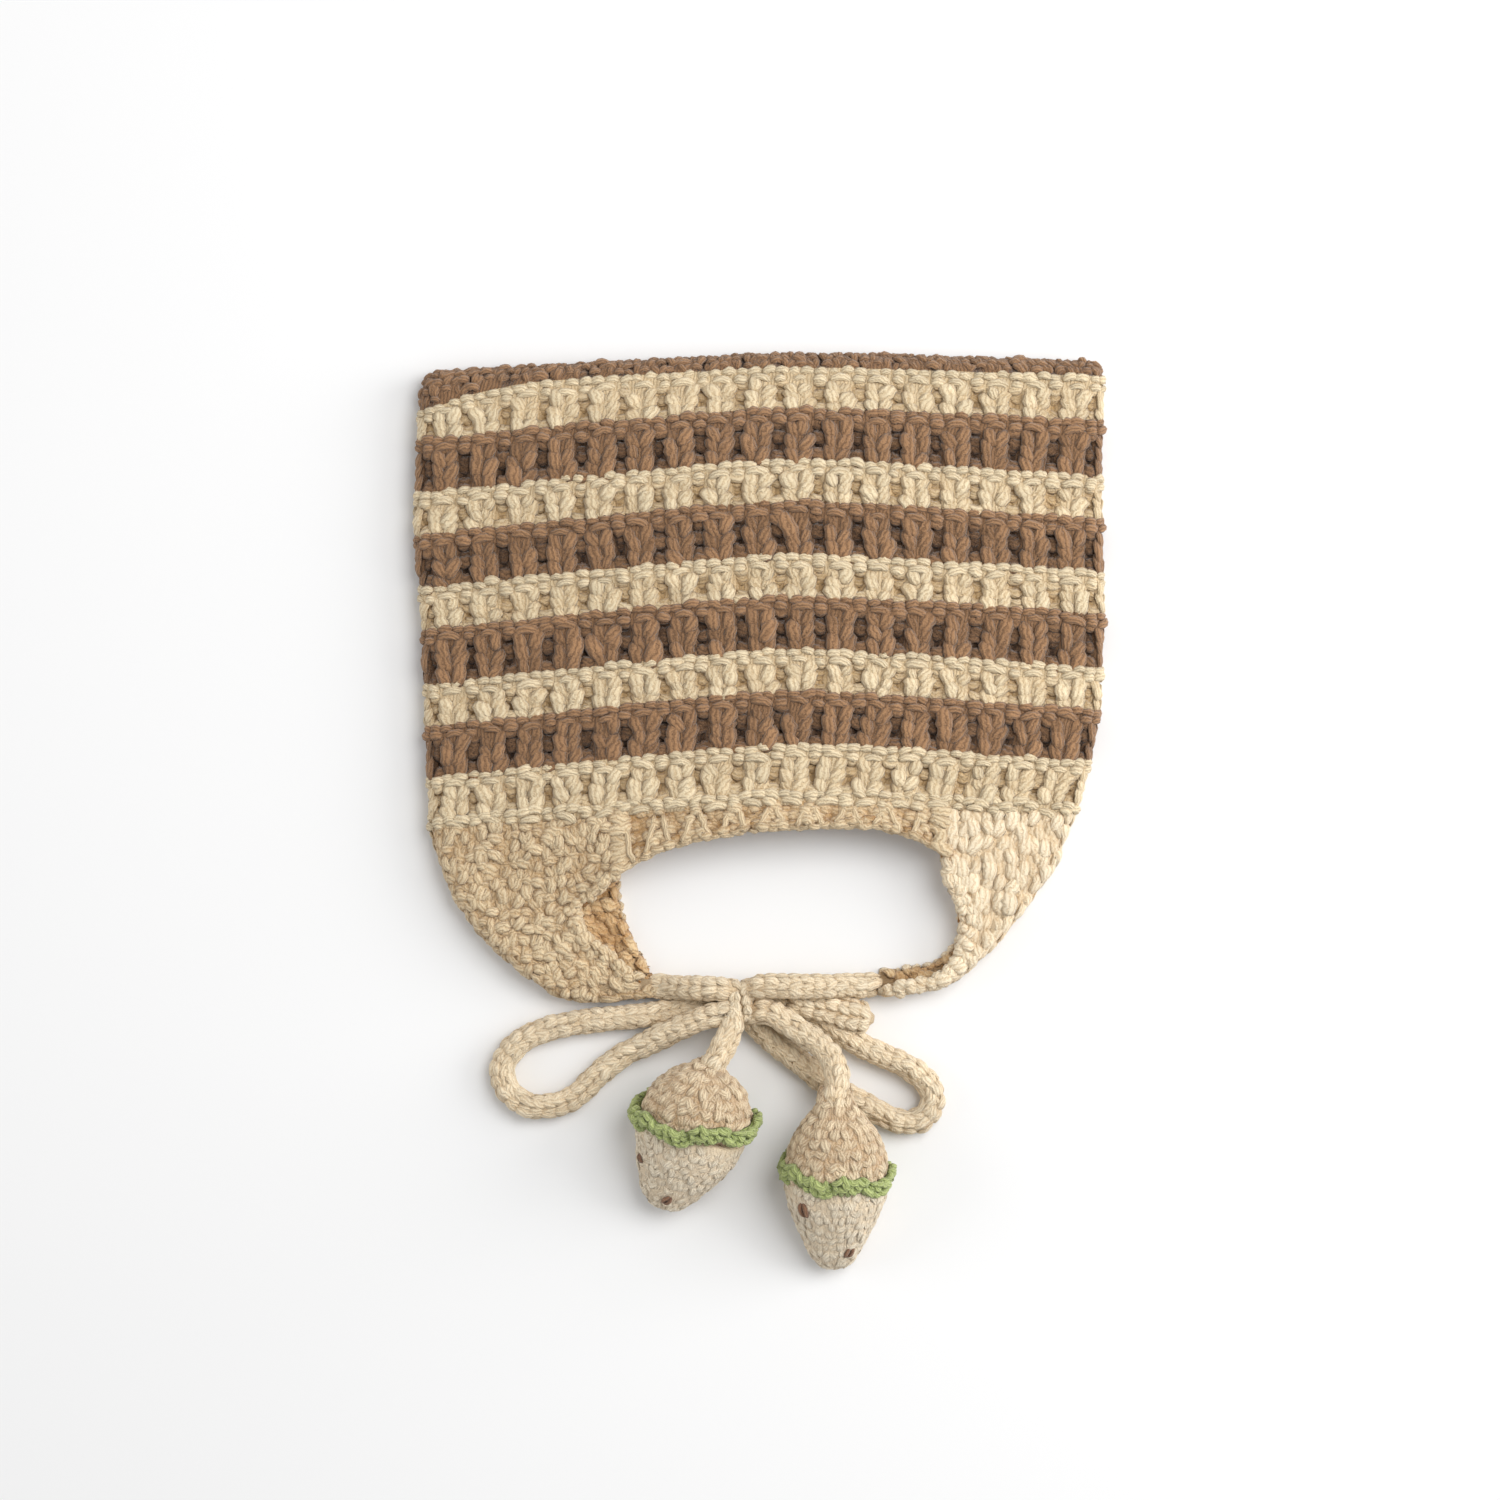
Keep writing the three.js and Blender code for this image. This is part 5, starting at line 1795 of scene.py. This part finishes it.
@dataclass
class Berry:
    """A stuffed crochet strawberry on the end of a tie."""

    workshop: Workshop
    side: Side
    placing: Placing
    seeds: tuple[Seed, ...]
    rim_turn: float
    body_turn: float
    neck_drop: float
    rim_size: float = 1.0
    rim_droop: float = -2.0
    rim_steps: int = 24
    rim_columns: int = 96
    rim_stitches: int = 44
    rim_skin: float = -0.5
    wave: float = 1.1
    ripple: float = 0.5
    round_share: float = 0.93
    round_turn: float = 0.37
    round_sway: float = 0.12
    rows: int = 40
    columns: int = 72
    ball_seed: int = 45
    rim_seed: int = 50
    seeds_seed: int = 56

    def chart(self, profile: Table, turn: float) -> KnitSurface:
        """Charts a turned form.

        Args:
            profile: Radius and place along the axis, from end to end.
            turn: How far the form is turned on the surface that it lies on, in degrees.

        Returns:
            The surface, with shares of a turn across it and millimetres along it.
        """
        line = smooth_line(np.array(profile), self.rows)
        line[:, 0] = np.maximum(line[:, 0], LEAST_RADIUS)
        angle = np.linspace(0, 2 * math.pi, self.columns + 1)
        local = np.stack([
            line[:, :1] * np.cos(angle), np.broadcast_to(line[:, 1:], (self.rows, len(angle))),
            -line[:, :1] * np.sin(angle)], -1)
        world = replace(self.placing, turn=turn).to_world(local)
        world[..., 2] -= self.neck_drop * np.maximum(local[..., 1] - NECK_START, 0) ** 2
        along = np.linspace(0, arc_length(line)[-1], self.rows)
        surface = KnitSurface(world, np.linspace(0, 1, len(angle)), along, wraps=True)
        middle = self.rows // 2
        surface.face(middle, 0, world[middle, 0] - world.mean((0, 1)))
        return surface

    def build(self) -> list[Piece]:
        """Builds the dome, the body, the rim and the seeds.

        Returns:
            The pieces.
        """
        return [
            self.build_ball(DOME, DOMES[self.side], self.placing.turn),
            self.build_ball(BODY, BODIES[self.side], self.body_turn),
            self.build_rim(),
            self.build_seeds(),
        ]

    def build_ball(self, crochet: Crochet, profile: Table, turn: float) -> Piece:
        """Builds a stuffed form with rounds of crochet stitches.

        Args:
            crochet: Its part and its stitches.
            profile: Radius and place along the axis, from end to end.
            turn: How far it is turned, in degrees.

        Returns:
            The piece.
        """
        rng = np.random.default_rng(self.ball_seed)
        pitch, course, relief = crochet.pitch, crochet.course, crochet.relief
        surface = self.chart(profile, turn)
        mesh = PieceMesh(low=-relief * 1.1, high=relief * 0.3)
        across = np.linspace(0, 1, self.columns, endpoint=False)
        loft(mesh, surface.skin(across, -relief * 0.5), -relief * 0.5)
        line = smooth_line(np.array(profile), 200)
        run = arc_length(line)
        leg = Strand((
            (0.02 * pitch, -0.75 * course, -relief * 1.15), (0.18 * pitch, -0.1 * course, -relief * 0.5),
            (0.45 * pitch, 0.65 * course, -relief * 1.15)),
            oval=(0.36 * pitch, relief * 0.62), steps=6, sides=6)
        for k, along in enumerate(np.arange(course * 0.7, run[-1] - course * 0.3, course)):
            radius = float(np.interp(along, run, line[:, 0])) * self.placing.scale * self.round_share
            count = max(3, round(2 * math.pi * radius / pitch))
            ring = (np.arange(count) + self.round_turn * k + rng.normal(0, self.round_sway, count)) / count
            level = along + rng.normal(0, self.round_sway * course, count)
            for mirror in (-1.0, 1.0):
                lean = rng.normal(0, 0.3, count)
                leg.lay(mesh, surface, Spots.scattered(rng, ring, level, mirror, turn=lean, loose=1.3))
        name = f"{self.side.value}_berry_{crochet.part}"
        piece = self.workshop.finish(mesh, f"{name}_crochet", crochet.yarn, Slot.CROCHET, name)
        tidy(piece)
        return piece

    def rim_points(self, across: Array, radius: float, along: float, flare: float) -> Array:
        """Gives places on the waving green rim.

        Args:
            across: Shares of a turn.
            radius: How far from the axis they are.
            along: Where on the axis they are.
            flare: How much of the strawberry's flare they take.

        Returns:
            The places in the hat's frame.
        """
        angle = across * 2 * math.pi
        wide = (radius + flare * self.placing.flare) * self.rim_size
        x = wide * np.cos(angle)
        z = -wide * np.sin(angle)
        around = np.arctan2(x, z)
        y = along + self.wave * np.sin(5 * around) + self.ripple * np.sin(13 * around + 1.0)
        hung = replace(self.placing, turn=self.rim_turn, tilt=self.placing.tilt + self.rim_droop)
        return hung.to_world(np.stack([x, y, z], -1))

    def build_rim(self) -> Piece:
        """Builds the green rim of crochet chain stitches.

        Returns:
            The piece.
        """
        rng = np.random.default_rng(self.rim_seed)
        across = np.linspace(0, 1, self.rim_columns + 1)
        line = smooth_line(np.array(RIM + RIM[:1]), self.rim_steps + 1)
        rows = np.stack([self.rim_points(across, *place) for place in line])
        surface = KnitSurface(rows, across, np.linspace(0, 1, self.rim_steps + 1), wraps=True)
        outside = self.rim_steps // 4
        surface.face(outside, 0, rows[outside, 0] - rows.mean((0, 1)))
        mesh = PieceMesh(low=-1.6, high=0.8)
        skin = np.swapaxes(surface.skin(across[:-1], self.rim_skin)[:-1], 0, 1)
        loft(mesh, skin, self.rim_skin, capped=False)
        first = np.arange(self.rim_steps)
        last = first + (self.rim_columns - 1) * self.rim_steps
        mesh.add_faces(np.stack([last, np.roll(last, -1), np.roll(first, -1), first], -1), 0)
        stitch = Strand(((-1.5, -0.8, -0.8), (-0.6, 0.3, 0.0), (0.7, 0.8, 0.0), (1.6, 0.2, -0.8)),
                        oval=(0.95, 0.9))
        places = np.arange(self.rim_stitches) / self.rim_stitches
        for along, turn in RIM_ROUNDS:
            lean = turn + rng.normal(0, 0.35, self.rim_stitches)
            stitch.lay(mesh, surface, Spots.scattered(rng, places, along, turn=lean, loose=2.4))
        name = f"{self.side.value}_berry_rim"
        return self.workshop.finish(mesh, f"{name}_crochet", Yarn.GREEN, Slot.GREEN, name)

    def build_seeds(self) -> Piece:
        """Builds the embroidered seeds, each a pair of stitches.

        Returns:
            The piece.
        """
        surface = self.chart(BODIES[self.side], self.body_turn)
        mesh = PieceMesh(low=-0.6, high=0.8)
        rng = np.random.default_rng(self.seeds_seed)
        leg = Strand(((0.25, -1.9, -0.3), (0.75, -0.5, 0.35), (0.8, 0.7, 0.35), (0.2, 2.0, -0.3)),
                     oval=(0.62, 0.6))
        for seed in self.seeds:
            gap = np.linalg.norm(surface.points[..., :2] - np.array([seed.x, seed.y]), axis=-1)
            gap = np.where(surface.normals[..., 2] > 0, gap, np.inf)
            i, j = np.unravel_index(int(np.argmin(gap)), gap.shape)
            for mirror in (-1.0, 1.0):
                spots = Spots.scattered(rng, [surface.across[j]], [surface.along[i]], mirror,
                                        turn=math.radians(seed.turn), loose=0.3)
                spots.size *= seed.size
                leg.lay(mesh, surface, spots)
        return self.workshop.finish(mesh, f"{self.side.value}_berry_seeds", Yarn.SEED, Slot.CROCHET)


CORD_SIDES = 32
CORD_SKIN_SIDES = 24


def start_cord(line: Array, frame: tuple[Array, Array], radii: Array, columns: int,
               depth: float) -> tuple[KnitSurface, PieceMesh]:
    """Charts a round cord and skins it under its stitches.

    Args:
        line: Its middle line.
        frame: Two directions square to the line and to each other, at each of its points.
        radii: Its radius at each point.
        columns: How many columns of stitches go round it.
        depth: The skin's height over the surface.

    Returns:
        The surface, with columns across it and millimetres along it, and the mesh with the skin.
    """
    side, up = frame
    angle = np.linspace(0, 2 * math.pi, CORD_SIDES + 1)
    ring = np.cos(angle)[None, :, None] * side[:, None] + np.sin(angle)[None, :, None] * up[:, None]
    ring = ring * radii[:, None, None]
    across = np.linspace(0, columns, CORD_SIDES + 1)
    along = np.linspace(0, arc_length(line)[-1], len(line))
    surface = KnitSurface(line[:, None] + ring, across, along, wraps=True)
    middle = len(line) // 2
    surface.face(middle, 0, ring[middle, 0])
    mesh = PieceMesh(low=-1.9, high=0.3)
    loft(mesh, surface.skin(np.linspace(0, columns, CORD_SKIN_SIDES, endpoint=False), depth), depth)
    return surface, mesh


@dataclass
class Tie:
    """One knitted cord from a flap's tip through the bow to its strawberry."""

    workshop: Workshop
    side: Side
    route: Table
    replaced: tuple[str, ...]
    diameter: float = 8.0
    core: float = 3.25
    columns: int = 5
    course: float = 3.6
    points: int = 260
    seed: int = 51

    def frames(self) -> tuple[Array, Array, Array]:
        """Spreads places on the middle line, with two directions square to it that don't twist.

        Returns:
            The places, the sideward directions and the upward ones.
        """
        line = smooth_line(np.array(self.route), self.points)
        ahead = unit(np.gradient(line, axis=0))
        up = np.zeros_like(line)
        up[0] = unit(np.cross(np.cross(ahead[0], UP), ahead[0]))
        for i in range(1, self.points):
            up[i] = unit(up[i - 1] - ahead[i] * np.dot(up[i - 1], ahead[i]))
        return line, np.cross(ahead, up), up

    def build(self, berry: list[Piece]) -> Piece:
        """Args:
            berry: The strawberry's pieces; not used.

        Returns:
            The cord.
        """
        line, side, up = self.frames()
        length = float(arc_length(line)[-1])
        radius = self.diameter / 2
        surface, mesh = start_cord(line, (side, up), np.full(self.points, radius), self.columns,
                                   self.core - radius)
        rng = np.random.default_rng(self.seed)
        u, v = np.meshgrid(np.arange(self.columns), np.arange(self.course * 0.5, length - 1, self.course))
        leg = Strand(((0.2, -3.0, -1.4), (0.6, -1.1, -0.8), (1.35, 0.7, -0.72), (1.6, 2.8, -1.3)),
                     oval=(1.6, 0.72), steps=6, sides=6)
        for mirror in (-1.0, 1.0):
            leg.lay(mesh, surface, Spots.scattered(rng, u, v, mirror, loose=1.3))
        piece = self.workshop.finish(
            mesh, f"{self.side.value}_tie_cord", Yarn.CORD, Slot.CORD, *self.replaced)
        return piece


@dataclass
class TieRoot:
    """The rounded knitted lump where the right tie is joined on, under the tie."""

    workshop: Workshop
    route: Table = ((10.0, -101.4, 5.2), (18.0, -103.0, 5.3), (25.0, -104.6, 5.4), (31.0, -105.8, 5.2),
                    (36.2, -106.6, 4.6))
    radii: tuple[float, ...] = (4.4, 5.0, 5.6, 5.3, 2.0)
    points: int = 30
    columns: int = 6
    course: float = 3.6
    depth: float = -0.9
    seed: int = 71

    def build(self) -> None:
        """Builds the lump."""
        line = smooth_line(np.array(self.route), self.points)
        share = np.linspace(0, 1, self.points)
        radii = np.interp(share ** 1.6, np.linspace(0, 1, len(self.radii)), self.radii)
        ahead = unit(np.gradient(line, axis=0))
        side = unit(np.cross(ahead, UP))
        surface, mesh = start_cord(line, (side, np.cross(side, ahead)), radii, self.columns, self.depth)
        rng = np.random.default_rng(self.seed)
        length = float(arc_length(line)[-1])
        u, v = np.meshgrid(np.arange(self.columns), np.arange(1.5, length - 0.5, self.course))
        leg = Strand(((0.2, -2.9, -1.6), (0.6, -1.1, -0.7), (1.3, 0.7, -0.6), (1.5, 2.6, -1.5)),
                     oval=(1.35, 0.8))
        for mirror in (-1.0, 1.0):
            leg.lay(mesh, surface, Spots.scattered(rng, u, v, mirror, loose=1.4))
        self.workshop.finish(mesh, "right_tie_root", Yarn.CORD, Slot.KNIT)


@dataclass
class Knot:
    """The wrap of cord that ties the bow."""

    workshop: Workshop
    centre: Spot = (-5.95, -101.2, 8.2)
    length: float = 9.2
    radius: float = 6.6
    tall: float = 1.2
    pinch: float = 0.42
    turns: int = 6
    sides: int = 60
    rows: int = 21
    depth: float = -1.1
    strands: tuple[float, ...] = (-2.1, 2.1)
    stitches: int = 11
    seed: int = 61

    def chart(self) -> KnitSurface:
        """Charts the wrap, a short oval tube across the hat.

        Returns:
            The surface, with shares of the wrap across it and millimetres along the hat's X.
        """
        across = np.linspace(0, self.turns, self.sides + 1)
        angle = across / self.turns * 2 * math.pi
        along = np.linspace(-self.length / 2, self.length / 2, self.rows)
        rows = []
        for x in along:
            share = abs(x) / (self.length / 2)
            radius = self.radius * (1 - self.pinch * share**3.5)
            rows.append(np.stack([
                np.full(len(angle), self.centre[0] + x), self.centre[1] + radius * np.cos(angle),
                self.centre[2] + radius * self.tall * np.sin(angle)], -1))
        surface = KnitSurface(np.stack(rows), across, along, wraps=True)
        surface.face(self.rows // 2, self.sides // 4, UP)
        return surface

    def build(self) -> None:
        """Builds the wrap."""
        surface = self.chart()
        mesh = PieceMesh(low=-1.9, high=0.3)
        around = np.linspace(0, self.turns, 48, endpoint=False)
        loft(mesh, surface.skin(around, self.depth), self.depth)
        rng = np.random.default_rng(self.seed)
        leg = Strand(((-2.4, 0.2, -1.5), (-0.9, 0.5, -0.7), (0.9, 1.15, -0.65), (2.4, 1.5, -1.4)),
                     oval=(1.15, 0.85))
        for k, x in enumerate(self.strands):
            ring = np.arange(self.stitches) * self.turns / self.stitches + 0.2 * k
            for mirror, turn in ((1.0, 0.0), (-1.0, math.pi)):
                leg.lay(mesh, surface, Spots.scattered(rng, ring, x, mirror, turn=turn, loose=1.0))
        self.workshop.finish(mesh, "bow_knot_wrap", Yarn.CORD, Slot.CORD, "bow_knot")


@dataclass(frozen=True)
class Lamp:
    """One round soft light: where it hangs and how wide it is in metres, and its watts."""

    name: str
    place: Spot
    size: float
    energy: float

    def hang(self) -> None:
        """Hangs the light and points it at the hat."""
        data = bpy.data.lights.new(self.name, "AREA")
        data.shape = "DISK"
        data.size = self.size
        data.energy = self.energy
        light = put_in(self.name, data)
        light.location = self.place
        light.rotation_mode = "QUATERNION"
        light.rotation_quaternion = (-light.location).to_track_quat("-Z", "Y")


@dataclass
class Studio:
    """The pale floor, the soft light and the camera."""

    centre: tuple[float, float] = (-3.1, -22.3)
    frame_width: float = 471.0
    camera_height: float = 1570.0
    sensor: float = 36.0
    floor_reach: float = 6.0
    floor_white: float = 0.875
    floor_roughness: float = 0.9
    sky: float = 0.40
    lamps: tuple[Lamp, ...] = (
        Lamp("key", (0.5, 0.35, 1.15), size=0.9, energy=10.0),
        Lamp("right_side", (1.5, 0.25, 0.7), size=1.2, energy=17.5),
        Lamp("left_side", (-1.5, 0.1, 0.7), size=1.2, energy=7.0),
    )

    def build(self) -> None:
        """Builds the camera, the floor, the lights and the sky."""
        self.build_camera()
        self.build_floor()
        self.build_lights()

    def build_camera(self) -> None:
        """Points a long lens straight down at the hat."""
        data = bpy.data.cameras.new("photo_camera")
        data.sensor_width = self.sensor
        data.lens = self.sensor * self.camera_height / self.frame_width
        data.clip_start = 0.01
        data.clip_end = 20.0
        camera = put_in("photo_camera", data)
        camera.location = (self.centre[0] * MM, self.centre[1] * MM, self.camera_height * MM)
        bpy.context.scene.camera = camera

    def build_floor(self) -> None:
        """Lays a wide white floor."""
        reach = self.floor_reach
        mesh = bpy.data.meshes.new("floor")
        mesh.from_pydata([(-reach, -reach, 0), (reach, -reach, 0), (reach, reach, 0), (-reach, reach, 0)],
                         [], [(0, 1, 2, 3)])
        floor = put_in("floor", mesh)
        made = bpy.data.materials.new("white_floor")
        made.use_nodes = True
        shader = made.node_tree.nodes["Principled BSDF"]
        shader.inputs["Base Color"].default_value = (self.floor_white,) * 3 + (1,)
        shader.inputs["Roughness"].default_value = self.floor_roughness
        shader.inputs["Specular IOR Level"].default_value = 0.0
        mesh.materials.append(made)

    def build_lights(self) -> None:
        """Hangs a large soft light over the hat, a low one at each side, and fills in from the sky."""
        world = bpy.data.worlds.new("studio")
        world.use_nodes = True
        sky = world.node_tree.nodes["Background"]
        sky.inputs["Color"].default_value = (1.0, 1.0, 1.0, 1)
        sky.inputs["Strength"].default_value = self.sky
        bpy.context.scene.world = world
        for lamp in self.lamps:
            lamp.hang()
        bpy.context.scene.view_settings.view_transform = "Standard"


def main() -> None:
    """Builds the hat, piece by piece."""
    logging.basicConfig(level=logging.INFO, format="%(message)s")
    Studio().build()
    workshop = Workshop()
    left = Berry(
        workshop, Side.LEFT, Placing(x=-20.20, y=-138.10, z=16.32, turn=-13.0, scale=1.0, flare=1.2),
        (Seed(-29.2, -162.7, turn=-20, size=1.0), Seed(-37.2, -149.3, turn=30, size=0.8)),
        rim_turn=-6.0, body_turn=-22.0, neck_drop=0.15).build()
    right = Berry(
        workshop, Side.RIGHT, Placing(x=23.80, y=-154.70, z=15.26, turn=1.0, scale=1.02, flare=0.0),
        (Seed(13.8, -164.9, turn=10, size=1.25), Seed(27.9, -178.7, turn=-10, size=1.05)),
        rim_turn=-5.0, body_turn=-2.0, neck_drop=0.04, rim_size=0.91).build()
    Tie(workshop, Side.LEFT, LEFT_TIE + LEFT_PASS + LEFT_LOOP + LEFT_TAIL,
        ("left_tie", "left_bow_loop", "left_tie_end")).build(left)
    Tie(workshop, Side.RIGHT, RIGHT_TIE + RIGHT_PASS + RIGHT_LOOP + RIGHT_TAIL,
        ("right_tie", "right_bow_loop", "right_tie_end")).build(right)
    TieRoot(workshop).build()
    Knot(workshop).build()
    Crown(workshop).build()
    Brim(workshop, Layer.FRONT, seed=32).build()
    Brim(workshop, Layer.BACK, seed=31).build()
    Flap(workshop, Side.LEFT, LEFT_FLAP, Yarn.MOSS, seed=21).build()
    Flap(workshop, Side.RIGHT, RIGHT_FLAP, Yarn.PUFFED, seed=25, free_below=-54.5, skin=0.6,
         inside_width=1.7, inside_relief=0.5, inside_step=2).build()


if __name__ == "__main__":
    main()
